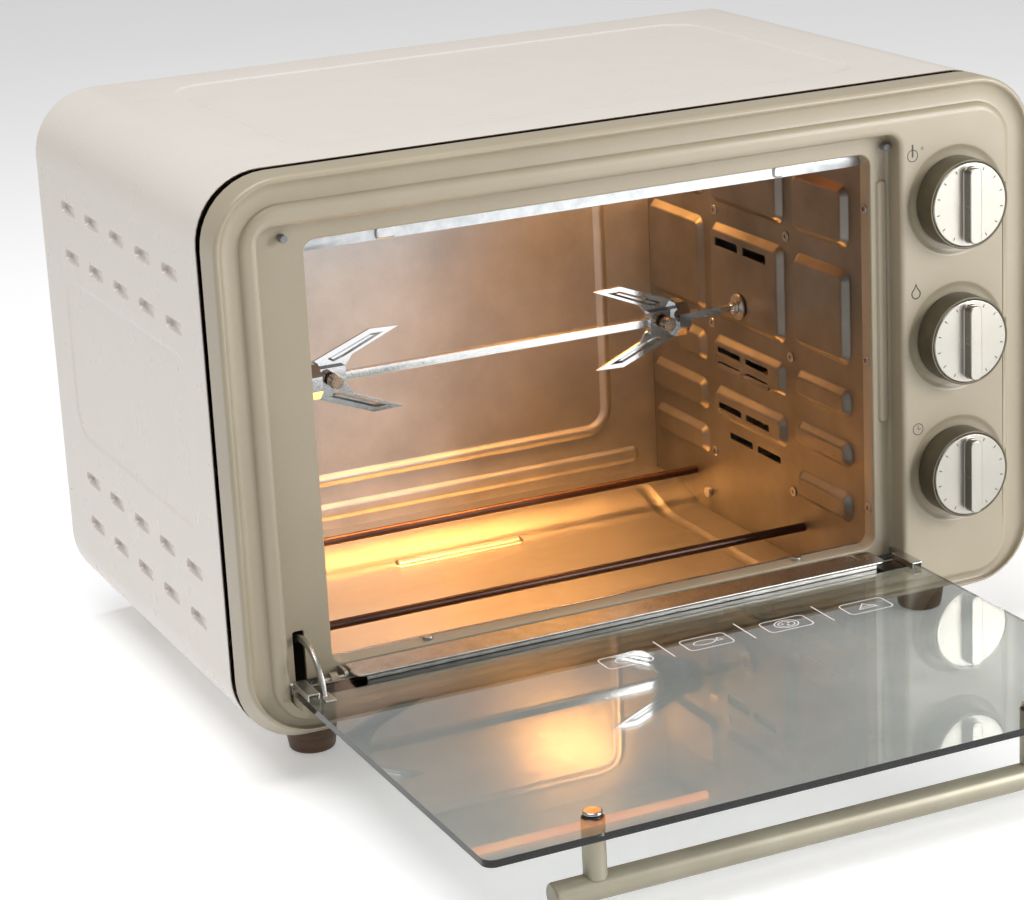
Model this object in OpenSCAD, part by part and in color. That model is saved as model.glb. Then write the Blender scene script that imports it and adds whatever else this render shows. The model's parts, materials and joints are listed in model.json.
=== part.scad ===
// Counter-top rotisserie oven, door lying open. Millimetres, +Z up, front faces -Y, floor at z = 0.

/* [Body] */
// outside width of the oven body
body_w = 500; // [440:5:560]
// height of the body above its feet
body_h = 316; // [280:2:350]
// height of the four feet
foot_h = 18; // [12:1:25]
// outside corner radius of body and bezel
corner_r = 38; // [20:1:50]
// where the rear edge of the outer shell lies
body_back = 276.5; // [240:0.5:300]
// thickness of the pressed outer shell
shell_t = 1.6; // [0.8:0.1:2.5]
// how far the rear spacers stand off the back
spacer_h = 14; // [8:1:25]

/* [Front bezel and opening] */
// plane of the recess that the door closes into
recess_y = -29.5; // [-35:0.5:-20]
// how far the bezel stands in front of that plane
bezel_proud = 13.4; // [8:0.2:20]
// left edge of the cavity opening
open_x0 = -196; // [-210:1:-180]
// width of the cavity opening
open_w = 345; // [300:1:380]
// height of the lower edge of the opening
open_z0 = 59; // [50:1:70]
// height of the cavity opening
open_h = 236.5; // [200:0.5:260]
// corner radius of the opening
open_r = 7; // [3:0.5:15]
// skin thickness of the bezel
skin = 2.5; // [1.5:0.1:4]

/* [Cavity] */
// thickness of the cavity sheet metal
sheet = 1; // [0.6:0.1:1.5]
// how far the rack guide pads stand into the cavity
pad_h = 4; // [2:0.5:6]
// radius of a heater tube
heater_r = 2.8; // [2:0.1:4]

/* [Door] */
// thickness of the glass pane
glass_t = 4; // [3:0.5:6]
// reach of the door from its hinge axis
door_reach = 253; // [240:0.5:260]
// length of the handle bar
handle_w = 300; // [200:5:360]
// radius of the handle bar
handle_r = 7; // [5:0.5:10]

/* [Knobs] */
// radius of a knob
knob_r = 26; // [18:0.5:30]
// distance from one knob axis to the next
knob_pitch = 80.75; // [65:0.25:90]

/* [Spit] */
// side of the square spit bar
spit_side = 5; // [4:0.1:8]

/* [Shown] */
// one node by name, or all of them

/* [Hidden] */
$fn = 32;

half_w = body_w / 2;
z_low = foot_h;
z_top = foot_h + body_h;
front_y = recess_y - bezel_proud;
open_x1 = open_x0 + open_w;
open_z1 = open_z0 + open_h;
// the door recess in the bezel
rec_x0 = open_x0 - 29.6;
rec_x1 = open_x1 + 11.9;
rec_z0 = open_z0 - 17;
rec_z1 = open_z1 + 12;
rec_r = 8;
// bezel side wall, neck and shell start
band_back = recess_y + 8.5;
shell_y0 = recess_y + 16;
cove_in = 14.5;
// cavity inner faces
cav_x0 = open_x0 - 1;
cav_x1 = open_x1 + 1;
cav_y0 = recess_y + 11;
cav_y1 = recess_y + 278;
cav_z1 = open_z1 + 11.5;
floor_z = 22.5;
ramp_y0 = recess_y + 210;
ramp_y1 = recess_y + 250;
ledge_z = 33;
// hinge axis, spit axis, fan axis
hinge_y = recess_y - 8;
hinge_z = open_z0 - 6;
spit_y = recess_y + 150.5;
spit_z = open_z0 + 115;
fan_z = open_z0 + 52;
// hinge layout along x: ears on the body, lugs on the door
pin_r = 2;
ear_r = 4.5;
right_ears = [[rec_x1 - 34, rec_x1 - 32], [rec_x1 - 2.2, rec_x1 - 0.2]];
left_ears = [[rec_x0 + 0.2, rec_x0 + 2.2], [rec_x0 + 32, rec_x0 + 34]];
right_lug = [rec_x1 - 28, rec_x1 - 24];
left_lug = [rec_x0 + 24, rec_x0 + 28];
// handle
handle_mid = (rec_x0 + rec_x1) / 2;
handle_y = hinge_y - door_reach + 22;
handle_z = hinge_z - 36;
// knob column
knob_x = 198;
knob_z = open_z0 + 205.5;
// rack guide pads: columns as [y start, y end], rows as [z low, z high]
pad_cols = [[25.5, 87], [101, 189], [201, 272]];
pad_rows = [[4.5, 23], [34, 54.5], [66.5, 88.5], [101, 162], [176, 213]];
// heater tubes: depths of the front and rear pair, heights of the upper and lower pair
tube_y = [recess_y + 84, recess_y + 222];
top_z = open_z1 + 1;
low_z = open_z0 - 12;
// heights of the screws in the side flanges, and x of those in the lower flange
flange_z = [203.5, 113.3, 22.8];
flange_x = [59, 295];
// air slots in the right wall, as [y centre, z centre, height], and the air duct's screws
air_slots = [
  [166.5, 151, 6], [131.5, 151, 6],
  [166.5, 80, 4.4], [131.5, 80, 4.4],
  [166.5, 70.7, 4.4], [131.5, 70.7, 4.4],
  [167, 43, 5], [132, 43, 5],
  [160, 23.5, 5], [125, 23.5, 5]
];
duct_screws = [[187, 169.5], [98, 169.5], [193.5, 94.5], [95, 94.5], [194.5, 8], [95, 8]];
// left fork and right fork hub ends along the spit
fork_l = -146;
fork_r = 106;
tiny = 0.4;
// side louvres: heights of the rows, depth of the first one and their pitch
louvre_rows = [17.5, 46, 185.5, 215];
louvre_y0 = 62;
louvre_pitch = 46.3;
// base pan and feet
pan_t = 1.2;
foot_x = 200;
foot_ys = [2, 232];
// cord inlet and cover screws in the back
inlet_x = 196;
inlet_z = 70;
back_screw_x = 205;
back_screw_zs = [46, 290];
// slanted chin under the front face
chin_rise = 10.5;
chin_tilt = 24;

// ---------- helpers ----------

// rounded rectangle from two corners, with a corner radius
module rrect(x0, y0, x1, y1, r) {
  translate([x0 + r, y0])
    square([x1 - x0 - 2 * r, y1 - y0]);
  translate([x0, y0 + r])
    square([x1 - x0, y1 - y0 - 2 * r]);
  for (x = [x0 + r, x1 - r], y = [y0 + r, y1 - r])
    translate([x, y])
      circle(r = r);
}

// a front-view outline (x, z) made solid between two depths
module slab(y0, y1) {
  translate([0, y1, 0])
    rotate([90, 0, 0])
      linear_extrude(y1 - y0)
        children();
}

// a side-view outline (y, z) made solid between two x positions
module side_plate(x0, x1) {
  translate([x0, 0, 0])
    rotate([90, 0, 90])
      linear_extrude(x1 - x0)
        children();
}

// body outline, drawn in by a distance
module body_outline(inset) {
  rrect(-half_w + inset, z_low + inset, half_w - inset, z_top - inset, corner_r - inset);
}

module recess_outline(grow) {
  rrect(rec_x0 - grow, rec_z0 - grow, rec_x1 + grow, rec_z1 + grow, rec_r + grow);
}

module opening_outline(grow) {
  rrect(open_x0 - grow, open_z0 - grow, open_x1 + grow, open_z1 + grow, open_r + grow);
}

module rod_x(x0, x1, y, z, r) {
  translate([x0, y, z])
    rotate([0, 90, 0])
      cylinder(r = r, h = x1 - x0);
}

module rod_y(y0, y1, x, z, r) {
  translate([x, y1, z])
    rotate([90, 0, 0])
      cylinder(r = r, h = y1 - y0);
}

// ---------- outer body ----------

// pressed louvre slots on one side: two rows high up and two rows low down
module side_louvres() {
  for (row = louvre_rows, i = [0:4])
    translate([recess_y + louvre_y0 + louvre_pitch * i, open_z0 + row])
      rrect(-14, -3.6, 14, 3.6, 3.4);
}

module outer_shell() {
  color("#ddd5cc")
    difference() {
      slab(shell_y0, body_back)
        difference() {
          body_outline(0);
          body_outline(shell_t);
          translate([-half_w + corner_r + 6, z_low - 1])
            square([body_w - 2 * corner_r - 12, shell_t + 2]);
        }
      // vents through both sides
      side_plate(-half_w - 1, -half_w + shell_t + 1)
        side_louvres();
      side_plate(half_w - shell_t - 1, half_w + 1)
        side_louvres();
      // shallow pressed panels on the sides and the top
      for (x = [-half_w - 1, half_w - 0.6])
        side_plate(x, x + 1.6)
          rrect(recess_y + 44, open_z0 + 70, recess_y + 270, open_z0 + 170, 16);
      translate([0, 0, z_top - 0.6])
        linear_extrude(2)
          rrect(-175, recess_y + 50, 175, recess_y + 270, 20);
    }
}

module back_panel() {
  color("#b9b4aa")
    slab(body_back - 3, body_back - 1.5)
      difference() {
        body_outline(shell_t + 0.3);
        // vent rows
        for (z = [95:14:193], x = [-150:30:150])
          translate([x, z])
            rrect(-11, -2.5, 11, 2.5, 2.4);
        // hole for the cord inlet
        translate([inlet_x, inlet_z])
          circle(r = 9);
        for (x = [-back_screw_x, back_screw_x], z = back_screw_zs)
          translate([x, z])
            circle(r = 2.2);
      }
}

module back_screws() {
  color("#8f8f8c")
    for (x = [-back_screw_x, back_screw_x], z = back_screw_zs) {
      rod_y(body_back - 12, body_back - 1.5, x, z, 1.9);
      rod_y(body_back - 1.5, body_back + 0.6, x, z, 3.6);
    }
}

module wall_spacers() {
  color("#4a4a48")
    for (x = [-150, 150]) {
      difference() {
        slab(body_back - 1.5, body_back + spacer_h)
          translate([x, 250])
            rrect(-14, -14, 14, 14, 4);
        slab(body_back + 1, body_back + spacer_h - 2)
          translate([x, 250])
            rrect(-11, -11, 11, 11, 2);
      }
    }
}

module base_pan() {
  color("#a9a9a6")
    translate([0, 0, z_low])
      linear_extrude(pan_t)
        difference() {
          translate([-half_w + corner_r + 6, band_back + 0.5])
            square([body_w - 2 * corner_r - 12, body_back - 3.8 - band_back]);
          for (y = [40:34:210], x = [-120:40:120])
            translate([x, y])
              rrect(-13, -2.5, 13, 2.5, 2.4);
          foot_places()
            circle(r = 2.1);
        }
}

// children at each of the four feet
module foot_places() {
  for (x = [-foot_x, foot_x], y = foot_ys)
    translate([x, y])
      children();
}

module feet() {
  color("#5b3a22")
    foot_places()
      difference() {
        rotate_extrude()
          polygon([[0, 0], [12, 0], [13, 1], [15.5, z_low - 1.2], [15, z_low], [0, z_low]]);
        translate([0, 0, 8])
          cylinder(r = 1.7, h = z_low);
      }
}

module foot_screws() {
  color("#8f8f8c")
    foot_places() {
      translate([0, 0, 8.2])
        cylinder(r = 1.7, h = z_low - 7);
      translate([0, 0, z_low + pan_t])
        cylinder(r = 3, h = 1.4);
    }
}

// ---------- front bezel ----------

module front_bezel() {
  color("#a89c86")
    difference() {
      union() {
        // side wall of the frame
        slab(front_y, band_back)
          difference() {
            body_outline(0);
            body_outline(skin);
          }
        // front face with the control panel
        slab(front_y, front_y + 6)
          difference() {
            body_outline(0.5);
            recess_outline(0);
          }
        // walls and floor of the door recess
        slab(front_y, recess_y + 1.5)
          difference() {
            recess_outline(skin);
            recess_outline(0);
          }
        slab(recess_y, recess_y + 1.5)
          difference() {
            recess_outline(1);
            opening_outline(0);
          }
        // upright rib pressed out of the recess floor
        slab(recess_y - 1.6, recess_y + tiny)
          rrect(open_x1 + 3.5, open_z0 + 76, open_x1 + 10.6, open_z0 + 221, 3.4);
        // flange that runs back into the cavity mouth
        slab(recess_y, cav_y0 - tiny)
          difference() {
            opening_outline(1);
            opening_outline(0);
          }
        // neck that carries the shell
        slab(band_back - 2, band_back)
          difference() {
            body_outline(1);
            body_outline(6);
          }
        slab(band_back - 1, shell_y0 + 8)
          difference() {
            body_outline(3.5);
            body_outline(6);
            // open below, where the cavity floor passes
            translate([-half_w + corner_r + 6, z_low])
              square([body_w - 2 * corner_r - 12, 8]);
          }
        // chin that slants back under the front face
        intersection() {
          slab(front_y, band_back)
            body_outline(0);
          chin_block(skin, -1);
        }
      }
      // cove between the outer edge and the raised band
      slab(front_y - 1, front_y + 3.5)
        difference() {
          body_outline(2.4);
          body_outline(cove_in);
        }
      // dished seats and shaft holes for the knobs
      for (i = [0:2]) {
        rod_y(front_y - 1, front_y + 1.5, knob_x, knob_z - knob_pitch * i, knob_r + 5.5);
        rod_y(front_y - 1, front_y + 8, knob_x, knob_z - knob_pitch * i, 5);
      }
      // slot for the stay arm
      slab(recess_y - 1, recess_y + 3)
        rrect(open_x0 - 22.5, open_z0 - 13, open_x0 - 15.5, open_z0 + 23, 1.5);
      // holes for the flange screws
      for (z = flange_z)
        rod_x(open_x1 - 1, open_x1 + 3, recess_y + 6.5, open_z0 + z, 1.6);
      for (x = flange_x)
        translate([open_x0 + x, recess_y + 6, open_z0 - 3])
          cylinder(r = 1.6, h = 4);
      chin_block(0, -30);
    }
}

// a block between two heights above the slanted chin plane
module chin_block(high, low) {
  translate([-half_w - 5, front_y, z_low + chin_rise])
    rotate([-chin_tilt, 0, 0])
      translate([0, -20, low])
        cube([body_w + 10, 60, high - low]);
}

module door_bumpers() {
  color("#77777a")
    for (x = [open_x0 - 12.3, open_x1 + 8.6])
      rod_y(recess_y - 5.6, recess_y, x, open_z1 + 3.5, 2.2);
}

module flange_screws() {
  color("#9a8f7c") {
    for (z = flange_z) {
      rod_x(open_x1 - 0.9, open_x1, recess_y + 6.5, open_z0 + z, 3);
      rod_x(open_x1 - 0.5, open_x1 + 5, recess_y + 6.5, open_z0 + z, 1.5);
    }
    for (x = flange_x)
      translate([open_x0 + x, recess_y + 6, open_z0 - 5]) {
        cylinder(r = 1.5, h = 5.5);
        translate([0, 0, 5])
          cylinder(r = 3, h = 2);
      }
  }
}

// ---------- cavity ----------

// outline of a side wall seen from the side, with tabs for the flange screws
module wall_outline() {
  difference() {
    union() {
      translate([cav_y0, floor_z + sheet])
        square([cav_y1 - cav_y0, cav_z1 - floor_z - sheet]);
      for (z = flange_z)
        rrect(recess_y + 2, open_z0 + z - 6, cav_y0 + 6, open_z0 + z + 6, 3);
    }
    // lower rear corner follows the raised ledge of the floor
    polygon([
      [ramp_y0, floor_z - 1],
      [ramp_y0, floor_z + sheet],
      [ramp_y1, ledge_z + sheet],
      [cav_y1 + 1, ledge_z + sheet],
      [cav_y1 + 1, floor_z - 1]
    ]);
  }
}

// rack guide pads, drawn in by a distance; the middle column has none in the lowest row
module pad_outlines(inset) {
  for (c = [0:2], r = [0:4])
    if (!(c == 1 && r == 0)) {
      ys = pad_cols[c];
      zs = pad_rows[r];
      rrect(
        recess_y + ys[0] + inset, open_z0 + zs[0] + inset,
        recess_y + ys[1] - inset, open_z0 + zs[1] - inset, 6 - inset);
    }
}

// a wall sheet with hollow pads pressed into the cavity; side is +1 for the right wall
module pressed_wall(inner, side) {
  lo = side > 0 ? inner : inner - sheet;
  pad_lo = side > 0 ? inner - pad_h : inner;
  hollow_lo = side > 0 ? inner - pad_h + sheet : inner - sheet;
  difference() {
    union() {
      side_plate(lo, lo + sheet)
        wall_outline();
      side_plate(pad_lo, pad_lo + pad_h)
        pad_outlines(0);
    }
    side_plate(hollow_lo, hollow_lo + pad_h)
      pad_outlines(sheet);
    // holes for the heater ends
    for (y = tube_y) {
      rod_x(inner - 8, inner + 8, y, top_z, heater_r + 0.6);
      rod_x(inner - 8, inner + 8, y, low_z, heater_r + 0.6);
    }
    // screw holes in the front tabs
    for (z = flange_z)
      rod_x(inner - 2, inner + 2, recess_y + 6.5, open_z0 + z, 1.6);
  }
}

module cavity_left_wall() {
  color("#a8a49b")
    pressed_wall(cav_x0, -1);
}

module cavity_right_wall() {
  color("#a8a49b")
    difference() {
      pressed_wall(cav_x1, 1);
      for (s = air_slots)
        side_plate(cav_x1 - 6, cav_x1 + 2)
          translate([recess_y + s[0], open_z0 + s[1]])
            rrect(-14.5, -s[2] / 2, 14.5, s[2] / 2, 1.5);
      rod_x(cav_x1 - 8, cav_x1 + 3, spit_y, spit_z, 6);
      rod_x(cav_x1 - 2, cav_x1 + 2, recess_y + 202.5, open_z0 - 22, 1.6);
      for (s = duct_screws)
        rod_x(cav_x1 - 2, cav_x1 + 2, recess_y + s[0], open_z0 + s[1], 1.6);
    }
}

module wall_screws() {
  color("#9c9588") {
    for (s = duct_screws) {
      rod_x(cav_x1 - 1, cav_x1, recess_y + s[0], open_z0 + s[1], 3.2);
      rod_x(cav_x1 - 0.5, cav_x1 + 4, recess_y + s[0], open_z0 + s[1], 1.5);
    }
    // hexagonal stud low on the right wall
    rod_x(cav_x1 - 3.5, cav_x1, recess_y + 202.5, open_z0 - 22, 3.4);
    rod_x(cav_x1 - 0.5, cav_x1 + 4, recess_y + 202.5, open_z0 - 22, 1.5);
  }
}

module cavity_top() {
  color("#c9cac6") {
    translate([cav_x0 - sheet, cav_y0, cav_z1])
      cube([cav_x1 - cav_x0 + 2 * sheet, cav_y1 - cav_y0 + sheet, sheet]);
    // front rail that hangs into view under the bezel
    translate([cav_x0 + tiny, cav_y0, open_z1 - 8.3])
      cube([cav_x1 - cav_x0 - 2 * tiny, sheet, cav_z1 - open_z1 + 8.3 + tiny]);
    // stiffening lip at the foot of the rail
    translate([cav_x0 + tiny, cav_y0, open_z1 - 8.3])
      cube([cav_x1 - cav_x0 - 2 * tiny, 4, sheet]);
  }
}

module cavity_back_wall() {
  color("#b5b3ac") {
    difference() {
      slab(cav_y1, cav_y1 + sheet)
        translate([cav_x0, ledge_z + sheet])
          square([cav_x1 - cav_x0, cav_z1 - ledge_z - sheet]);
      // recessed field inside the pressed frame
      slab(cav_y1 - 1, cav_y1 + 0.4)
        rrect(cav_x0 + 34, open_z0 + 15, cav_x1 - 40, open_z1 - 14, 14);
    }
    // pressed frame around the field
    slab(cav_y1 - 2.5, cav_y1 + tiny)
      difference() {
        rrect(cav_x0 + 26, open_z0 + 5, cav_x1 - 32, open_z1 - 4, 20);
        rrect(cav_x0 + 33, open_z0 + 12, cav_x1 - 39, open_z1 - 11, 14);
      }
    // long bead under the frame
    slab(cav_y1 - 2.5, cav_y1 + tiny)
      rrect(cav_x0 + 30, open_z0 - 17, cav_x1 - 14, open_z0 - 9, 3.8);
  }
}

// side view of the floor sheet: rolled front rim, front wall, flat, ramp and ledge
module cavity_floor() {
  color("#b5a795")
    difference() {
      union() {
        side_plate(cav_x0 + 0.1, cav_x1 - 0.1)
          polygon([
            [cav_y0, open_z0 - 1.5],
            [cav_y0, floor_z],
            [ramp_y0, floor_z],
            [ramp_y1, ledge_z],
            [cav_y1, ledge_z],
            [cav_y1, ledge_z + sheet],
            [ramp_y1 - 0.3, ledge_z + sheet],
            [ramp_y0 - 0.3, floor_z + sheet],
            [cav_y0 + sheet, floor_z + sheet],
            [cav_y0 + sheet, open_z0 - 1.5]
          ]);
        rod_x(cav_x0 + 0.1, cav_x1 - 0.1, cav_y0 + 1.3, open_z0 - 1.5, 1.5);
        // capsule bead in the middle of the floor
        translate([0, 0, floor_z + sheet / 2])
          linear_extrude(sheet / 2 + 1.8)
            rrect(open_x0 + 129, recess_y + 190, open_x0 + 219, recess_y + 200, 4.9);
        // tabs under the lower flange
        for (x = flange_x)
          translate([open_x0 + x - 8, recess_y + 2, open_z0 - 2])
            cube([16, 10, 1]);
      }
      for (x = flange_x)
        translate([open_x0 + x, recess_y + 6, open_z0 - 4])
          cylinder(r = 1.6, h = 4);
      // hollow under the bead
      translate([0, 0, floor_z - 1])
        linear_extrude(sheet + 1.4)
          rrect(open_x0 + 131, recess_y + 192, open_x0 + 217, recess_y + 198, 2.9);
    }
}

module heater_tube(y, z) {
  color("#3c2a24")
    rod_x(cav_x0 - 13, cav_x1 + 13, y, z, heater_r);
}

module heater_top_front() {
  heater_tube(tube_y[0], top_z);
}

module heater_top_rear() {
  heater_tube(tube_y[1], top_z);
}

module heater_bottom_front() {
  heater_tube(tube_y[0], low_z);
}

module heater_bottom_rear() {
  heater_tube(tube_y[1], low_z);
}

// ceramic collars that hold the tube ends outside the walls
module heater_bushings() {
  color("#e6e2d8")
    for (y = tube_y, z = [low_z, top_z], x = [cav_x0 - sheet - 8, cav_x1 + sheet])
      difference() {
        rod_x(x, x + 8, y, z, 5.5);
        rod_x(x - 1, x + 9, y, z, heater_r);
      }
}

// forked bracket on the left wall that carries the spit's free end
module spit_bracket() {
  color("#c8c8c4") {
    side_plate(cav_x0 + pad_h, cav_x0 + pad_h + 1.2)
      translate([spit_y, spit_z])
        rrect(-13, -13, 13, 12, 3);
    side_plate(cav_x0 + pad_h + 1, cav_x0 + pad_h + 7)
      difference() {
        translate([spit_y, spit_z])
          rrect(-7, -8, 7, 6, 2);
        translate([spit_y, spit_z])
          circle(r = 3.1);
        translate([spit_y - 3.1, spit_z])
          square([6.2, 20]);
      }
  }
}

// ---------- drive compartment ----------

module fan_housing() {
  x0 = cav_x1 + sheet;
  x1 = x0 + 20;
  color("#b0b0ac")
    difference() {
      side_plate(x0, x1)
        rrect(recess_y + 90, open_z0 + 2, recess_y + 200, open_z0 + 176, 6);
      side_plate(x0 - 1, x1 - 1)
        rrect(recess_y + 104, open_z0 + 14, recess_y + 190, open_z0 + 164, 5);
      rod_x(x1 - 2, x1 + 1, spit_y, spit_z, 6);
      rod_x(x1 - 2, x1 + 1, spit_y, fan_z, 5);
      for (s = duct_screws)
        rod_x(x0 - 1, x0 + 6, recess_y + s[0], open_z0 + s[1], 1.6);
    }
}

module fan_motor() {
  x0 = cav_x1 + sheet + 20;
  color("#5a5d60")
    difference() {
      union() {
        rod_x(x0, x0 + 22, spit_y, fan_z, 22);
        side_plate(x0, x0 + 2)
          translate([spit_y, fan_z])
            rrect(-32, -8, 32, 8, 4);
      }
      rod_x(x0 - 1, x0 + 10, spit_y, fan_z, 2.55);
    }
}

module fan_wheel() {
  x0 = cav_x1 + sheet + 7;
  color("#9aa0a3") {
    rod_x(x0 + 9, x0 + 10, spit_y, fan_z, 36);
    rod_x(x0 + 1, x0 + 22, spit_y, fan_z, 2.5);
    rod_x(x0 + 2, x0 + 9.5, spit_y, fan_z, 7);
    for (a = [0:30:330])
      translate([0, spit_y, fan_z])
        rotate([a, 0, 0])
          translate([x0, -0.6, 18])
            cube([9.5, 1.2, 16.5]);
  }
}

module spit_gearmotor() {
  x0 = cav_x1 + sheet + 20;
  color("#8c8f8e")
    difference() {
      union() {
        rod_x(x0, x0 + 24, spit_y, spit_z, 20);
        side_plate(x0, x0 + 2)
          translate([spit_y, spit_z])
            rrect(-30, -7, 30, 7, 4);
      }
      rod_x(x0 - 1, x0 + 10, spit_y, spit_z, 4.05);
    }
}

// ---------- controls ----------

// a switch body behind the panel with a bearing for its shaft
module control_body(i, w, h, depth) {
  z = knob_z - knob_pitch * i;
  difference() {
    union() {
      slab(front_y + 6, front_y + 6 + depth)
        translate([knob_x, z])
          rrect(-w / 2, -h / 2, w / 2, h / 2, 3);
      rod_y(front_y + 2, front_y + 7, knob_x, z, 4.6);
    }
    rod_y(front_y + 1, front_y + 16, knob_x, z, 3.05);
  }
}

module thermostat_body() {
  color("#c9c1ad")
    control_body(0, 36, 30, 24);
}

module selector_body() {
  color("#3c3c3c")
    control_body(1, 42, 34, 28);
}

module timer_body() {
  color("#c2c4c0")
    control_body(2, 48, 44, 42);
}

module control_shaft(i) {
  color("#a5a7a5")
    rod_y(front_y - 11, front_y + 15.5, knob_x, knob_z - knob_pitch * i, 3);
}

// hollow grip of a knob
module knob_grip(i) {
  z = knob_z - knob_pitch * i;
  color("#4c4636")
    difference() {
      rod_y(front_y - 14, front_y + 0.9, knob_x, z, knob_r);
      rod_y(front_y - 11.5, front_y + 2, knob_x, z, knob_r - 2.2);
      rod_y(front_y - 15, front_y - 13, knob_x, z, knob_r - 1.4);
    }
  color("#4c4636")
    difference() {
      rod_y(front_y - 12, front_y - 0.5, knob_x, z, 6);
      rod_y(front_y - 11, front_y, knob_x, z, 3);
    }
}

// brushed disc with a raised pointer bar
module knob_face(i) {
  z = knob_z - knob_pitch * i;
  color("#c4c2bc") {
    rod_y(front_y - 14.6, front_y - 13, knob_x, z, knob_r - 1.6);
    slab(front_y - 21, front_y - 14)
      translate([knob_x, z])
        rrect(-4, -knob_r + 4, 4, knob_r - 4, 3.5);
  }
}

module temp_knob_grip() {
  knob_grip(0);
}

module temp_knob_face() {
  knob_face(0);
}

module temp_shaft() {
  control_shaft(0);
}

module mode_knob_grip() {
  knob_grip(1);
}

module mode_knob_face() {
  knob_face(1);
}

module mode_shaft() {
  control_shaft(1);
}

module timer_knob_grip() {
  knob_grip(2);
}

module timer_knob_face() {
  knob_face(2);
}

module timer_shaft() {
  control_shaft(2);
}

module cord_inlet() {
  color("#2b2b2b")
    difference() {
      union() {
        rod_y(body_back - 12, body_back + 4, inlet_x, inlet_z, 8.8);
        rod_y(body_back - 1.5, body_back + 2, inlet_x, inlet_z, 12);
        rod_y(body_back - 6, body_back - 3, inlet_x, inlet_z, 12);
      }
      rod_y(body_back - 14, body_back + 6, inlet_x, inlet_z, 3.8);
    }
}

// ---------- door and hinge ----------

module hinge_brackets() {
  color("#8d8f8a")
    for (e = concat(right_ears, left_ears))
      difference() {
        union() {
          rod_x(e[0], e[1], hinge_y, hinge_z, ear_r);
          side_plate(e[0], e[1])
            translate([hinge_y + 1, hinge_z - 4.5])
              square([recess_y - hinge_y - 1, 9]);
        }
        rod_x(e[0] - 1, e[1] + 1, hinge_y, hinge_z, pin_r + 0.06);
      }
}

// closely wound counterbalance springs round the hinge pins
module hinge_springs() {
  color("#2d2d2b")
    for (x0 = [rec_x1 - 21, rec_x0 + 4.5])
      difference() {
        union() {
          rod_x(x0, x0 + 16.5, hinge_y, hinge_z, 2.9);
          for (i = [0:8])
            rod_x(x0 + 0.3 + 1.85 * i, x0 + 1.4 + 1.85 * i, hinge_y, hinge_z, 3.5);
        }
        rod_x(x0 - 1, x0 + 20, hinge_y, hinge_z, pin_r + 0.35);
      }
}

module hinge_pins() {
  color("#b8bab6") {
    rod_x(right_ears[0][0] - 1, rec_x1 - 0.3, hinge_y, hinge_z, pin_r);
    rod_x(rec_x0 + 0.3, left_ears[1][1] + 1, hinge_y, hinge_z, pin_r);
  }
}

module door_glass() {
  color("#cfe0da", 0.35)
    difference() {
      translate([0, 0, hinge_z + 2 - glass_t])
        linear_extrude(glass_t)
          rrect(rec_x0 + 0.8, hinge_y - door_reach, rec_x1 - 0.8, hinge_y - 7.5, 6);
      for (s = [-1, 1])
        translate([handle_mid + s * handle_w * 0.42, handle_y, hinge_z - 10])
          cylinder(r = 2.6, h = 20);
    }
}

module door_rail() {
  z0 = hinge_z - 6.5;
  z1 = hinge_z + 2 - glass_t;
  color("#9b988a")
    difference() {
      union() {
        translate([rec_x0 + 0.8, hinge_y - 19, z0])
          cube([rec_x1 - rec_x0 - 1.6, 22, z1 - z0]);
        // lip behind the edge of the glass
        translate([rec_x0 + 0.8, hinge_y - 7.2, z0])
          cube([rec_x1 - rec_x0 - 1.6, 3.2, z1 - z0 + glass_t - 0.5]);
        // lugs that carry the pins
        for (l = [right_lug, left_lug]) {
          rod_x(l[0], l[1], hinge_y, hinge_z, ear_r - 0.3);
          translate([l[0], hinge_y - 5, z0])
            cube([l[1] - l[0], 8, 6]);
        }
      }
      for (l = [right_lug, left_lug])
        rod_x(l[0] - 1, l[1] + 1, hinge_y, hinge_z, pin_r);
      // room for the ears and the springs
      for (e = concat(right_ears, left_ears))
        rod_x(e[0] - 0.6, e[1] + 0.6, hinge_y, hinge_z, ear_r + 0.7);
      for (e = concat(right_ears, left_ears))
        translate([e[0] - 0.6, hinge_y - 1, hinge_z - 7])
          cube([e[1] - e[0] + 1.2, 5, 8]);
      for (x0 = [rec_x1 - 21, rec_x0 + 4.5])
        rod_x(x0 - 0.6, x0 + 17.1, hinge_y, hinge_z, 4.1);
    }
}

module door_inner_strip() {
  z1 = hinge_z + 6;
  color("#b1a7a0") {
    difference() {
      translate([0, 0, z1 - 1.2])
        linear_extrude(1.2)
          rrect(open_x0 + 4, hinge_y - 16, open_x1 - 7, hinge_y + 4.3, 4);
      // notches that pass the hinge ears
      for (e = concat(right_ears, left_ears))
        translate([e[0] - 0.7, hinge_y - 5.6, hinge_z])
          cube([e[1] - e[0] + 1.4, 12, 12]);
    }
    // folded edge that rests on the glass
    translate([open_x0 + 10, hinge_y - 15.5, hinge_z + 2])
      cube([open_w - 23, 1.2, 3]);
    translate([open_x0 + 10, hinge_y - 9.5, hinge_z + 2])
      cube([open_w - 23, 1.2, 3]);
  }
}

module hinge_end_plates() {
  color("#8f9188")
    for (x = [rec_x1 - 8.5, rec_x0 + 0.9])
      translate([x, hinge_y - 27.5, hinge_z + 2])
        difference() {
          cube([7, 22.5, 4]);
          translate([1, -1, -1])
            cube([5, 22, 3.8]);
        }
}

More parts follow.
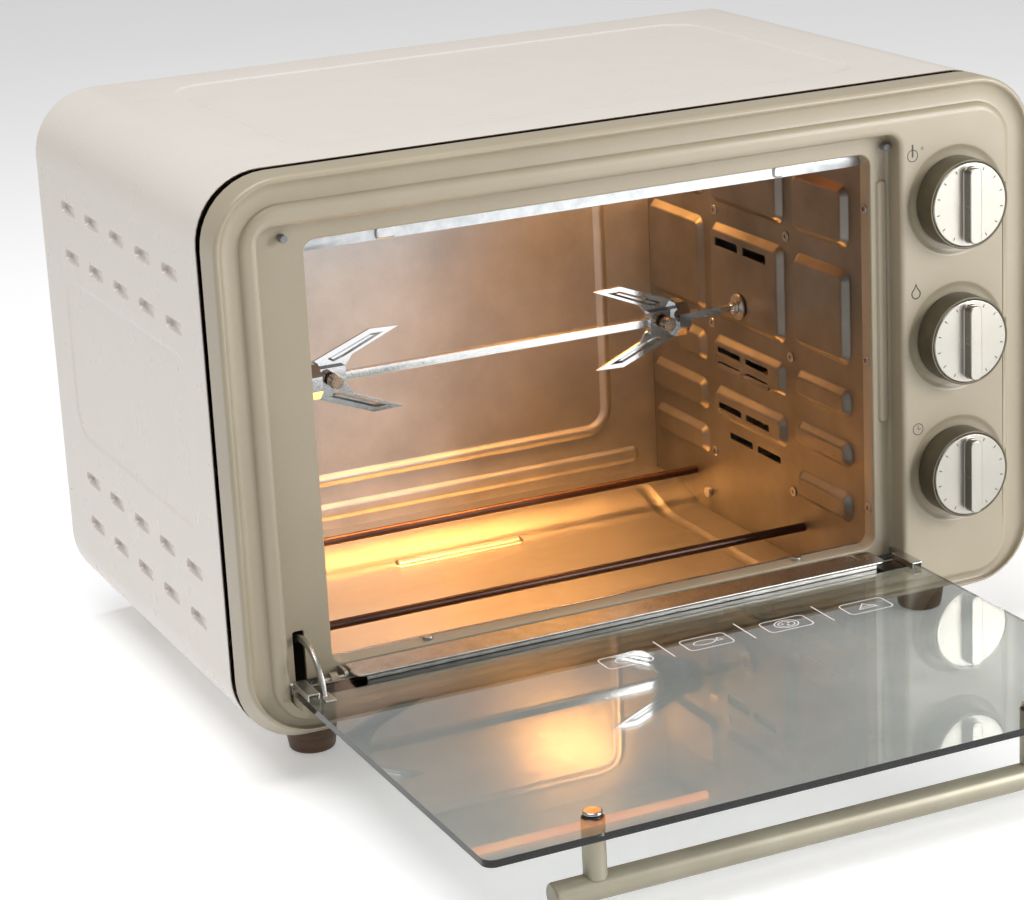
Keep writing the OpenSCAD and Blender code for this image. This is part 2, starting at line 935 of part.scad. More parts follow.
// curved stay arm on the left of the door
module door_stay() {
  x0 = open_x0 - 20.2;
  color("#b9beb4") {
    side_plate(x0, x0 + 2.4)
      intersection() {
        difference() {
          translate([hinge_y, hinge_z])
            circle(r = 28, $fn = 64);
          translate([hinge_y, hinge_z])
            circle(r = 24, $fn = 64);
        }
        translate([hinge_y, hinge_z])
          polygon([[0, 0], [-60, 5.3], [-60, 60], [34.6, 60]]);
      }
    translate([x0 - 1, hinge_y - 34, hinge_z + 2])
      cube([6.4, 12, 1.2]);
  }
}

module handle_bar() {
  color("#b6a98e")
    rod_x(handle_mid - handle_w / 2, handle_mid + handle_w / 2, handle_y, handle_z, handle_r);
}

module handle_posts() {
  color("#8d8676")
    for (s = [-1, 1])
      difference() {
        translate([handle_mid + s * handle_w * 0.42, handle_y, 0])
          translate([0, 0, handle_z + handle_r - 2])
            cylinder(r = 6, h = hinge_z + 2 - glass_t - handle_z - handle_r + 2);
        rod_x(handle_mid - handle_w, handle_mid + handle_w, handle_y, handle_z, handle_r);
        translate([handle_mid + s * handle_w * 0.42, handle_y, hinge_z - 14])
          cylinder(r = 2, h = 20);
      }
}

module handle_screws() {
  color("#c9cac8")
    for (s = [-1, 1])
      translate([handle_mid + s * handle_w * 0.42, handle_y, hinge_z - 12]) {
        cylinder(r = 2, h = 14.5);
        translate([0, 0, 14])
          cylinder(r = 5, h = 2);
      }
}

// ---------- spit ----------

module spit_shaft() {
  s = spit_side / 2;
  color("#d4d6d8") {
    translate([cav_x0 + pad_h + 8.5, spit_y - s, spit_z - s])
      cube([131 - cav_x0 - pad_h - 8.5, spit_side, spit_side]);
    // journal that rests in the left bracket, with a stop collar
    rod_x(cav_x0 + pad_h + 1.6, cav_x0 + pad_h + 9, spit_y, spit_z, 2.6);
    rod_x(cav_x0 + pad_h + 7.6, cav_x0 + pad_h + 9.4, spit_y, spit_z, 5.5);
    // stem and hexagonal end
    rod_x(130.5, 141, spit_y, spit_z, 1.9);
    translate([140, spit_y, spit_z])
      rotate([0, 90, 0])
        cylinder(r = 4, h = 3.4, $fn = 6);
    rod_x(143, 150, spit_y, spit_z, 2.4);
  }
}

module drive_socket() {
  color("#8a7a66")
    difference() {
      union() {
        rod_x(cav_x1 - pad_h - 2.4, cav_x1 - pad_h - 0.6, spit_y, spit_z, 8.2);
        rod_x(cav_x1 - pad_h - 1, cav_x1 + sheet + 29, spit_y, spit_z, 4);
      }
      rod_x(cav_x1 - pad_h - 3, cav_x1 + 2.2, spit_y, spit_z, 2.5);
    }
}

// a meat fork: two slotted blades on an eight-sided hub; end is the hub's outer end, dir its tip direction
module meat_fork(end, dir) {
  hole = spit_side + 0.1;
  translate([end, spit_y, spit_z])
    mirror([dir < 0 ? 1 : 0, 0, 0])
      difference() {
        union() {
          // hub ring and the channel along the bar
          rotate([0, 90, 0])
            rotate([0, 0, 22.5])
              cylinder(r = 11.5, h = 8, $fn = 8);
          translate([7, -4.5, -7])
            cube([18, 9, 14]);
          for (m = [0, 1])
            mirror([0, 0, m])
              fork_blade();
        }
        translate([-1, -hole / 2, -hole / 2])
          cube([40, hole, hole]);
        // thread for the thumb screw
        translate([16, 0, 0])
          rotate([90, 0, 0])
            cylinder(r = 2, h = 12);
      }
}

// one flat blade with a pressed slot, pointing along +x
module fork_blade() {
  translate([0, 0.9, 0])
    rotate([90, 0, 0])
      difference() {
        linear_extrude(1.8)
          polygon([[4, 8], [7, 11.5], [43, 25.5], [61.5, 24.8], [31, 12], [27, 6.5], [22, 4], [8, 4]]);
        translate([0, 0, 1])
          linear_extrude(2)
            polygon([[15.5, 11.6], [43.5, 22.6], [52, 22.6], [26, 11.6], [19, 9.4]]);
      }
}

module fork_left() {
  color("#d9dadb")
    meat_fork(fork_l, 1);
}

module fork_right() {
  color("#d9dadb")
    meat_fork(fork_r, -1);
}

// thumb screw that locks a fork on the bar
module thumb_screw(x) {
  translate([x, spit_y - spit_side / 2 - 0.1, spit_z])
    rotate([90, 0, 0]) {
      cylinder(r = 1.94, h = 9);
      translate([0, 0, 4.4])
        cylinder(r = 4.2, h = 6.5);
    }
}

module fork_left_screw() {
  color("#6a5646")
    thumb_screw(fork_l + 16);
}

module fork_right_screw() {
  color("#6a5646")
    thumb_screw(fork_r - 16);
}

// ---------- node switch ----------

outer_shell();
back_panel();
wall_spacers();
base_pan();
front_bezel();
door_bumpers();
cavity_left_wall();
cavity_right_wall();
cavity_top();
cavity_back_wall();
cavity_floor();
heater_top_front();
heater_top_rear();
heater_bottom_front();
heater_bottom_rear();
heater_bushings();
spit_bracket();
fan_housing();
fan_motor();
fan_wheel();
spit_gearmotor();
thermostat_body();
selector_body();
timer_body();
feet();
foot_screws();
cord_inlet();
hinge_brackets();
hinge_springs();
wall_screws();
flange_screws();
back_screws();
door_glass();
door_rail();
door_inner_strip();
hinge_end_plates();
hinge_pins();
door_stay();
handle_bar();
handle_posts();
handle_screws();
temp_knob_grip();
temp_knob_face();
temp_shaft();
mode_knob_grip();
mode_knob_face();
mode_shaft();
timer_knob_grip();
timer_knob_face();
timer_shaft();
spit_shaft();
drive_socket();
fork_left();
fork_left_screw();
fork_right();
fork_right_screw();
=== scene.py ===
# %% [markdown]
# # A counter-top rotisserie oven
# The oven stands with its glass door lying open. The measured model gives every part its place, and
# this script gives each part its finish and rebuilds the pressed and moulded shapes in full detail.

# %% Load the measured model
import json
import math

import bmesh
import bpy
from mathutils import Matrix, Vector

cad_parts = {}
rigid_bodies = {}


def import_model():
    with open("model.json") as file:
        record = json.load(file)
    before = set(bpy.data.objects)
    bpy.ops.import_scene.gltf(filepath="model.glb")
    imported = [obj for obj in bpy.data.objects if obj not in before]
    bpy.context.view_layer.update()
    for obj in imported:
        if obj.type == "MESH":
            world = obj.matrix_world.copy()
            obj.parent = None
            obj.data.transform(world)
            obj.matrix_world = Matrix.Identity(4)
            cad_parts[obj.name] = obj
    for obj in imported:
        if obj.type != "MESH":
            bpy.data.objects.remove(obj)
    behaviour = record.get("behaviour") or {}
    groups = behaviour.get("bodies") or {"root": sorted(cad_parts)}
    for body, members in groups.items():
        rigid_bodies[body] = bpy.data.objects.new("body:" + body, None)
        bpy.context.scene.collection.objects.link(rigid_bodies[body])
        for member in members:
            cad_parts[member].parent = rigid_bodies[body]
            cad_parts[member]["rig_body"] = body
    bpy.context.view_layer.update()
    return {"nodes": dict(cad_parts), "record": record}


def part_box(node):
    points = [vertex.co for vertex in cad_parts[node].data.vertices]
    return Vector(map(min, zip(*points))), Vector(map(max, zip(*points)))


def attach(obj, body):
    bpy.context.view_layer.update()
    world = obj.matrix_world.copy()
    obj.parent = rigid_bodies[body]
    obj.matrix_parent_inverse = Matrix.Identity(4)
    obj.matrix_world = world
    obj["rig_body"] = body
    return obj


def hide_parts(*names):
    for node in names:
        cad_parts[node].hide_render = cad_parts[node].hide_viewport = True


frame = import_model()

MM = 0.001


# %% [markdown]
# ## Shared places
# Most places are read from the measured model, so a new piece falls exactly where the old one was.
# The edges of the opening are written out, because no part has exactly that box.

# %% Places that many pieces share, in millimetres
def box_mm(node):
    """Lowest and highest corner of a measured node, in millimetres."""
    low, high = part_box(node)
    return low / MM, high / MM


shell_low, shell_high = box_mm("outer_shell")
wall_low, wall_high = box_mm("cavity_right_wall")
left_wall_low = box_mm("cavity_left_wall")[0]
floor_low, floor_high = box_mm("cavity_floor")
spit_low, spit_high = box_mm("spit_shaft")
glass_high = box_mm("door_glass")[1]

FRONT_Y = box_mm("front_bezel")[0].y
RECESS_DEPTH = 13.4
RECESS_Y = FRONT_Y + RECESS_DEPTH
OPEN_X0, OPEN_X1 = -196.0, 149.0
OPEN_Z0, OPEN_Z1 = 59.0, 295.5
SPIT_Y = (spit_low.y + spit_high.y) / 2
SPIT_Z = (spit_low.z + spit_high.z) / 2
print("front", round(FRONT_Y, 2), "recess", round(RECESS_Y, 2), "spit", round(SPIT_Y, 1), round(SPIT_Z, 1))


# %% [markdown]
# ## The camera and the studio
# The oven is seen from its front left corner, a little from above, through a long lens, which keeps
# the edges nearly parallel. The camera's three directions are written out, because it leans slightly.

# %% Camera
def place_camera():
    data = bpy.data.cameras.new("studio_camera")
    camera = bpy.data.objects.new("studio_camera", data)
    bpy.context.scene.collection.objects.link(camera)
    right = Vector((0.90418, -0.424282, -0.049442))
    up = Vector((0.167631, 0.245987, 0.954668))
    back = Vector((-0.392886, -0.871479, 0.293539))
    turn = Matrix((right, up, back)).transposed()
    camera.matrix_world = Matrix.Translation((-0.712, -1.4214, 0.6432)) @ turn.to_4x4()
    data.sensor_width = 36
    data.lens = 102.45
    data.shift_x = 0.0040
    data.shift_y = -0.0225
    data.clip_start = 0.05
    data.clip_end = 20
    bpy.context.scene.camera = camera
    return camera


camera = place_camera()
print("camera at", tuple(round(v, 3) for v in camera.location))


# %% [markdown]
# ## Materials from nodes
# Each finish is a Principled shader whose colour, roughness and bump come from noise in Object
# coordinates. Object coordinates are metres here, so a noise scale of 1000 makes grains near 1 mm.

# %% Helpers for node materials
GRAIN_SHARE = 0.35
COAT_ROUGHNESS = 0.12


def new_material(name):
    made = bpy.data.materials.new(name)
    made.use_nodes = True
    tree = made.node_tree
    return made, tree, tree.nodes["Principled BSDF"]


def object_coords(tree, scale=(1, 1, 1)):
    """Object coordinates, stretched by a Mapping node where the pattern has a direction."""
    coords = tree.nodes.new("ShaderNodeTexCoord")
    mapping = tree.nodes.new("ShaderNodeMapping")
    mapping.inputs["Scale"].default_value = scale
    tree.links.new(coords.outputs["Object"], mapping.inputs["Vector"])
    return mapping.outputs["Vector"]


def noise(tree, vector, scale, detail=3.0, rough=0.55):
    node = tree.nodes.new("ShaderNodeTexNoise")
    node.inputs["Scale"].default_value = scale
    node.inputs["Detail"].default_value = detail
    node.inputs["Roughness"].default_value = rough
    tree.links.new(vector, node.inputs["Vector"])
    return node.outputs["Fac"]


def ramp(tree, factor, stops):
    node = tree.nodes.new("ShaderNodeValToRGB")
    elements = node.color_ramp.elements
    while len(elements) < len(stops):
        elements.new(0.5)
    for element, (place, colour) in zip(elements, stops):
        element.position = place
        element.color = (*colour, 1)
    tree.links.new(factor, node.inputs["Fac"])
    return node.outputs["Color"]


def spread(tree, factor, low, high, from_low=0.3, from_high=0.7):
    """Maps a noise, which mostly lies from 0.3 to 0.7, to a range of values."""
    node = tree.nodes.new("ShaderNodeMapRange")
    node.inputs["From Min"].default_value = from_low
    node.inputs["From Max"].default_value = from_high
    node.inputs["To Min"].default_value = low
    node.inputs["To Max"].default_value = high
    tree.links.new(factor, node.inputs["Value"])
    return node.outputs["Result"]


def bump(tree, shader, height, distance):
    node = tree.nodes.new("ShaderNodeBump")
    node.inputs["Strength"].default_value = 1.0
    node.inputs["Distance"].default_value = distance
    tree.links.new(height, node.inputs["Height"])
    tree.links.new(node.outputs["Normal"], shader.inputs["Normal"])


def grained(name, dark, light, rough, metal=0.0, patch=14.0, grain=900.0, lift=0.00003,
            stretch=(1, 1, 1), coat=0.0):
    """A finish with large soft patches of two close colours and a fine grain in gloss and bump."""
    made, tree, shader = new_material(name)
    vector = object_coords(tree, stretch)
    patches = noise(tree, vector, patch, 4.0)
    fine = noise(tree, vector, grain, 2.0)
    both = tree.nodes.new("ShaderNodeMath")
    both.operation = "MULTIPLY_ADD"
    both.inputs[1].default_value = GRAIN_SHARE
    tree.links.new(fine, both.inputs[0])
    tree.links.new(patches, both.inputs[2])
    colour = ramp(tree, both.outputs["Value"], [(0.45, dark), (0.9, light)])
    tree.links.new(colour, shader.inputs["Base Color"])
    tree.links.new(spread(tree, fine, *rough), shader.inputs["Roughness"])
    shader.inputs["Metallic"].default_value = metal
    shader.inputs["Coat Weight"].default_value = coat
    shader.inputs["Coat Roughness"].default_value = COAT_ROUGHNESS
    bump(tree, shader, fine, lift)
    return made


# %% [markdown]
# ## Painted steel
# The cover is glossy cream enamel, and the front frame is the same steel in khaki with a satin
# surface. Both have the faint orange peel that sprayed paint leaves, so the gloss isn't perfect.

# %% Paints
cream_enamel = grained("cream_enamel", (0.675, 0.622, 0.566), (0.69, 0.638, 0.582), (0.27, 0.29),
                       patch=6.0, grain=40.0, lift=0.000001)
khaki_paint = grained("khaki_paint", (0.335, 0.283, 0.197), (0.385, 0.33, 0.238), (0.36, 0.46),
                      patch=8.0, grain=1300.0, lift=0.000015, coat=0.15)
khaki_metal = grained("khaki_metal", (0.30, 0.27, 0.20), (0.36, 0.33, 0.25), (0.30, 0.42),
                      metal=0.35, patch=20.0, grain=1500.0, lift=0.00001)
print("paints", [m.name for m in (cream_enamel, khaki_paint, khaki_metal)])

# %% [markdown]
# ## Sheet steels
# The cavity is aluminised sheet: grey, finely speckled and half glossy, so it spreads the heaters'
# orange light into soft streaks. The back wall and floor take lighter copies of the same sheet, which is
# painted light: it stands for the light that falls on them. The rail over the door is galvanised and
# lighter.

# %% Bare and plated steels
aluminised = grained("aluminised_sheet", (0.20, 0.185, 0.16), (0.31, 0.29, 0.26), (0.34, 0.5),
                     metal=0.9, patch=22.0, grain=1100.0, lift=0.00005)
# the next two are lighter copies of the same aluminised sheet: painted light for the light that falls on
# the back wall and floor
back_sheet_painted_light = grained("back_wall_sheet_painted_light", (0.42, 0.42, 0.415), (0.54, 0.54, 0.53), (0.36, 0.52),
                     metal=0.9, patch=30.0, grain=900.0, lift=0.00006)
floor_sheet_painted_light = grained("floor_sheet_painted_light", (0.46, 0.44, 0.41), (0.60, 0.58, 0.55), (0.28, 0.42),
                      metal=0.92, patch=18.0, grain=1000.0, lift=0.00004, stretch=(0.25, 1, 1))
galvanised = grained("galvanised_sheet", (0.40, 0.42, 0.43), (0.56, 0.58, 0.59), (0.3, 0.45),
                     metal=0.85, patch=160.0, grain=1400.0, lift=0.00003)
zinc_steel = grained("zinc_plate", (0.42, 0.41, 0.38), (0.58, 0.57, 0.54), (0.25, 0.4),
                     metal=1.0, patch=120.0, grain=1600.0, lift=0.00001)
chrome = grained("chrome_plate", (0.56, 0.565, 0.57), (0.66, 0.665, 0.67), (0.05, 0.11),
                 metal=1.0, patch=60.0, grain=700.0, lift=0.000004)
bronze_plate = grained("bronze_plate", (0.23, 0.17, 0.12), (0.36, 0.28, 0.21), (0.2, 0.35),
                       metal=1.0, patch=150.0, grain=1500.0, lift=0.00001)
spring_steel = grained("oiled_spring", (0.03, 0.03, 0.028), (0.09, 0.088, 0.08), (0.3, 0.45),
                       metal=0.8, patch=200.0, grain=1500.0, lift=0.00001)
motor_steel = grained("motor_shell", (0.16, 0.165, 0.17), (0.24, 0.245, 0.25), (0.35, 0.5),
                      metal=0.7, patch=50.0, grain=1500.0, lift=0.00001)
print("finishes so far", len(bpy.data.materials))

# %% [markdown]
# ## The rest of the finishes
# Plastic, rubber, ceramic and the foot's dark wood look. The heater tubes are steel that heat has
# turned dark brown.

# %% Plastics, rubber, ceramic, heater tubes
bronze_plastic = grained("knob_bronze", (0.085, 0.072, 0.042), (0.13, 0.112, 0.07), (0.32, 0.44),
                         metal=0.4, patch=70.0, grain=1800.0, lift=0.00001)
black_plastic = grained("black_plastic", (0.012, 0.012, 0.012), (0.03, 0.03, 0.03), (0.45, 0.6),
                        patch=60.0, grain=1500.0, lift=0.00004)
grey_rubber = grained("bumper_rubber", (0.17, 0.17, 0.175), (0.25, 0.25, 0.26), (0.6, 0.75),
                      patch=300.0, grain=1500.0, lift=0.00003)
ceramic = grained("ceramic_collar", (0.66, 0.62, 0.55), (0.78, 0.75, 0.69), (0.55, 0.7),
                  patch=120.0, grain=1500.0, lift=0.00002)
wood_look = grained("dark_wood_foot", (0.045, 0.02, 0.01), (0.13, 0.065, 0.03), (0.35, 0.5),
                    patch=30.0, grain=400.0, lift=0.00002, stretch=(1, 1, 9))
heater_sheath = grained("oxidised_tube", (0.045, 0.022, 0.016), (0.12, 0.06, 0.04), (0.28, 0.42),
                        metal=0.7, patch=60.0, grain=1400.0, lift=0.00001, stretch=(0.3, 1, 1))


def glowing_tube():
    """The upper tubes are hot: a dull orange glow that varies softly along them."""
    made, tree, shader = new_material("hot_tube")
    vector = object_coords(tree)
    wander = noise(tree, vector, 30.0, 2.0)
    colour = ramp(tree, wander, [(0.35, (0.9, 0.22, 0.03)), (0.65, (1.0, 0.36, 0.07))])
    tree.links.new(colour, shader.inputs["Emission Color"])
    shader.inputs["Emission Strength"].default_value = 3.0
    shader.inputs["Base Color"].default_value = (0.1, 0.04, 0.02, 1)
    tree.links.new(spread(tree, wander, 0.4, 0.6), shader.inputs["Roughness"])
    return made


hot_tube = glowing_tube()
print("finishes so far", len(bpy.data.materials))

# %% [markdown]
# ## Door glass
# The door is one pane of toughened glass with a faint green body colour. Its colour is also darkened
# to a mid-grey, which is painted shade: it stands for the shadowed floor under the oven that is seen
# through the pane. Full transmission bends the light as glass does, and a soft smear in the gloss keeps
# the pane from looking like empty air.

# %% Clear pane
def shade_tinted_pane():
    made, tree, shader = new_material("shade_tinted_pane")
    vector = object_coords(tree)
    smear = noise(tree, vector, 40.0, 3.0)
    # base colour: a faint green body colour darkened to mid-grey, painted shade for the shadowed floor
    # seen through the pane
    shade_tint = ramp(tree, smear, [(0.3, (0.50, 0.53, 0.51)), (0.7, (0.54, 0.56, 0.54))])
    tree.links.new(shade_tint, shader.inputs["Base Color"])
    tree.links.new(spread(tree, smear, 0.0, 0.03), shader.inputs["Roughness"])
    shader.inputs["Transmission Weight"].default_value = 1.0
    shader.inputs["IOR"].default_value = 1.5
    return made


clear_glass = shade_tinted_pane()
print("glass", clear_glass.name)

# %% [markdown]
# ## Turned knob faces
# Each knob carries a thin metal disc that was faced on a lathe. A Wave texture in rings gives the
# turning marks, and a Mapping node moves the middle of the rings to the knob's own axis.

# %% Spun disc: rings round each knob's axis
RINGS_SCALE = 900.0


def spun_disc(name, x, z):
    """Fine rings round the point (x, z) of the front plane, as a lathe leaves them."""
    made, tree, shader = new_material(name)
    coords = tree.nodes.new("ShaderNodeTexCoord")
    centre = tree.nodes.new("ShaderNodeMapping")
    centre.inputs["Location"].default_value = (-x * MM, 0, -z * MM)
    tree.links.new(coords.outputs["Object"], centre.inputs["Vector"])
    rings = tree.nodes.new("ShaderNodeTexWave")
    rings.wave_type = "RINGS"
    rings.rings_direction = "Y"
    rings.inputs["Scale"].default_value = RINGS_SCALE
    rings.inputs["Distortion"].default_value = 3.0
    rings.inputs["Detail"].default_value = 2.0
    tree.links.new(centre.outputs["Vector"], rings.inputs["Vector"])
    colour = ramp(tree, rings.outputs["Fac"], [(0.0, (0.30, 0.285, 0.25)), (1.0, (0.42, 0.40, 0.36))])
    tree.links.new(colour, shader.inputs["Base Color"])
    tree.links.new(spread(tree, rings.outputs["Fac"], 0.22, 0.36, 0, 1), shader.inputs["Roughness"])
    shader.inputs["Metallic"].default_value = 1.0
    bump(tree, shader, rings.outputs["Fac"], 0.00001)
    return made


# %% [markdown]
# ## Dressing the measured parts
# Each record slot has one finish. Parts whose measured shape is already right only swap materials.

# %% Assign a finish to every measured part
SLOT_FINISH = {
    "cream_enamel": cream_enamel, "khaki_paint": khaki_paint, "khaki_metal": khaki_metal,
    "galvanised_steel": galvanised, "aluminised_steel": aluminised, "zinc_steel": zinc_steel,
    "motor_steel": motor_steel, "spring_steel": spring_steel, "chrome_plate": chrome,
    "bronze_plate": bronze_plate, "bronze_plastic": bronze_plastic, "black_plastic": black_plastic,
    "grey_rubber": grey_rubber, "ceramic": ceramic, "heater_sheath": heater_sheath,
    "wood_look": wood_look, "clear_glass": clear_glass, "brushed_disc": zinc_steel,
}


def dress(node, finish):
    slots = frame["nodes"][node].data.materials
    slots.clear()
    slots.append(finish)


for row in frame["record"]["subparts"]:
    dress(row["node"], SLOT_FINISH[row["material_slot"]])
KNOBS = ("temp", "mode", "timer")
for knob in KNOBS:
    low, high = box_mm(knob + "_knob_face")
    disc = spun_disc(knob + "_disc", (low.x + high.x) / 2, (low.z + high.z) / 2)
    dress(knob + "_knob_face", disc)
for node in ("heater_top_front", "heater_top_rear"):
    dress(node, hot_tube)
# the back wall and floor take the lighter copies of the sheet, which paint the light that falls on them
dress("cavity_back_wall", back_sheet_painted_light)
dress("cavity_floor", floor_sheet_painted_light)


# %% [markdown]
# ## Modelling helpers
# A pressed sheet starts as a flat face with rounded corners. Insetting the face again and again,
# each time with a little depth, draws it out like a press tool does, and the offsets stay exact.

# %% Helpers for pressed and moulded sheets
WELD = 0.002


def rounded_face(bm, x0, y0, x1, y1, r, segments=6, z=0.0):
    """A flat face in the local XY plane, with its corners rounded."""
    made = bmesh.ops.create_grid(bm, x_segments=1, y_segments=1, size=0.5)
    verts = made["verts"]
    bmesh.ops.scale(bm, vec=(x1 - x0, y1 - y0, 1), verts=verts)
    bmesh.ops.translate(bm, vec=((x0 + x1) / 2, (y0 + y1) / 2, z), verts=verts)
    if r <= 0:
        return verts[0].link_faces[0]
    result = bmesh.ops.bevel(bm, geom=verts, offset=r, offset_type="OFFSET", segments=segments,
                             profile=0.5, affect="VERTICES", clamp_overlap=False, material=-1)
    faces = {f for v in result["verts"] for f in v.link_faces}
    return max(faces, key=lambda f: f.calc_area())


def open_loop(bm, face):
    """Deletes a face and gives its border, ready to be filled against or bridged."""
    edges = list(face.edges)
    bmesh.ops.delete(bm, geom=[face], context="FACES_ONLY")
    return edges


def outer_edges(face):
    """The border of everything that is joined to a face."""
    seen, waiting, border = {face}, [face], []
    while waiting:
        for edge in waiting.pop().edges:
            if edge.is_boundary:
                border.append(edge)
            for other in edge.link_faces:
                if other not in seen:
                    seen.add(other)
                    waiting.append(other)
    return border


def press(bm, face, steps):
    """Draws a face out by (inset, depth) steps; gives the outer border and the inner face."""
    for inset, depth in steps:
        bmesh.ops.inset_region(bm, faces=[face], thickness=inset, depth=depth, use_boundary=True,
                               use_even_offset=True)
    return outer_edges(face), face


def fill_between(bm, loops, normal=(0, 0, 1)):
    edges = [e for loop in loops for e in loop]
    made = bmesh.ops.triangle_fill(bm, use_beauty=True, use_dissolve=False, edges=edges,
                                   normal=normal)
    return [g for g in made["geom"] if isinstance(g, bmesh.types.BMFace)]


def smooth_where_soft(obj, angle):
    obj.data.shade_smooth()
    obj.data.set_sharp_from_angle(angle=math.radians(angle))


def finish_piece(name, bm, to_model, material, body, replaces=(), thickness=0.0, outward=None,
                 angle=32):
    """Turns a bmesh in local millimetres into a piece in the model's frame, in metres."""
    bmesh.ops.remove_doubles(bm, verts=bm.verts, dist=WELD)
    bmesh.ops.dissolve_degenerate(bm, dist=WELD, edges=bm.edges)
    bm.transform(Matrix.Scale(MM, 4) @ to_model)
    bmesh.ops.recalc_face_normals(bm, faces=bm.faces)
    if outward is not None:
        # an open sheet has no inside, so its faces are turned to the side that is seen
        bm.faces.ensure_lookup_table()
        lean = sum((f.normal.dot(Vector(outward)) * f.calc_area() for f in bm.faces), 0.0)
        if lean < 0:
            bmesh.ops.reverse_faces(bm, faces=bm.faces)
    mesh = bpy.data.meshes.new(name)
    bm.to_mesh(mesh)
    bm.free()
    mesh.materials.append(material)
    obj = bpy.data.objects.new(name, mesh)
    bpy.context.scene.collection.objects.link(obj)
    smooth_where_soft(obj, angle)
    if thickness:
        solid = obj.modifiers.new("thickness", "SOLIDIFY")
        solid.thickness = thickness * MM
        solid.offset = -1.0
    weight = obj.modifiers.new("even_shading", "WEIGHTED_NORMAL")
    weight.keep_sharp = True
    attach(obj, body)
    if replaces:
        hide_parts(*replaces)
    print(name, "faces", len(mesh.polygons))
    return obj


# local planes: a front view looks along +Y, a right wall faces -X and a left wall faces +X
FRONT_VIEW = Matrix(((1, 0, 0, 0), (0, 0, -1, 0), (0, 1, 0, 0), (0, 0, 0, 1)))


def right_wall_view(x):
    return Matrix(((0, 0, -1, x), (1, 0, 0, 0), (0, 1, 0, 0), (0, 0, 0, 1)))


def left_wall_view(x):
    return Matrix(((0, 0, 1, x), (1, 0, 0, 0), (0, 1, 0, 0), (0, 0, 0, 1)))


# %% [markdown]
# ## The front frame
# The real frame is one moulding: a side band, a rounded edge, a hollow cove, a raised band and a
# recess that the door closes into. It could be swept along its outline, but the control panel makes
# the inner edge run apart from the outer one. So the outer part is a stack of rounded outlines that
# are bridged, the recess is pressed down from its own outline, and flat fills join the two.

# %% Front frame: outlines from the neck to the raised band
BODY_X = shell_high.x
BODY_Z0, BODY_Z1 = shell_low.z, shell_high.z
CORNER_R = 38.0
CHIN_RISE = 10.5
BAND_DEPTH = 21.9
CHIN_SQUEEZE = 0.48
# each ring is (distance in from the outline, distance behind the front plane)
COVE_PROFILE = [
    (3.5, 29.2), (3.5, 22.3), (3.1, 21.9), (0.7, 21.9), (0.2, 21.7), (0.0, 21.2), (0.0, 12.0),
    (0.0, 3.0), (0.15, 1.8), (0.6, 0.8), (1.4, 0.25), (2.3, 0.1), (3.0, 0.35), (3.5, 0.95), (4.0, 1.75),
    (4.8, 2.6), (6.0, 3.35), (7.8, 3.85), (10.0, 4.05), (12.4, 4.0), (14.0, 3.8), (14.5, 3.6),
    (14.8, 3.0), (15.2, 2.2), (15.9, 1.4), (16.9, 0.75), (18.2, 0.3), (19.8, 0.0)
]
# the other steps are (inset, depth), as press takes them
RECESS_STEPS = [(1.3, -0.1), (1.1, -0.45), (0.7, -0.75), (0.4, -1.0), (0.0, -9.4), (0.3, -0.8),
                (0.6, -0.5), (0.9, -0.4)]
SEAT_R = 33.0
SEAT_STEPS = [(0.8, -0.12), (0.9, -0.4), (1.2, -0.65), (1.6, -0.35), (3.0, -0.1), (20.0, 0.0),
              (0.0, -4.0)]
LIP = 0.9
LIP_STEPS = [(0.25, -0.05), (0.3, -0.22), (0.25, -0.4), (0.1, -0.5), (0.0, -9.2)]
RIB_STEPS = [(0.5, 0.12), (0.4, 0.5), (0.5, 0.65), (0.9, 0.3)]


def frame_outline(bm, inset, back):
    """One rounded outline of the frame; its lower edge rises towards the front, over the chin."""
    rise = CHIN_RISE * max(0.0, 1 - back / BAND_DEPTH)
    low = inset if back > BAND_DEPTH - 1 else inset * CHIN_SQUEEZE
    face = rounded_face(bm, -BODY_X + inset, BODY_Z0 + rise + low, BODY_X - inset, BODY_Z1 - inset,
                        max(CORNER_R - inset, 4), 10, -FRONT_Y - back)
    return open_loop(bm, face)


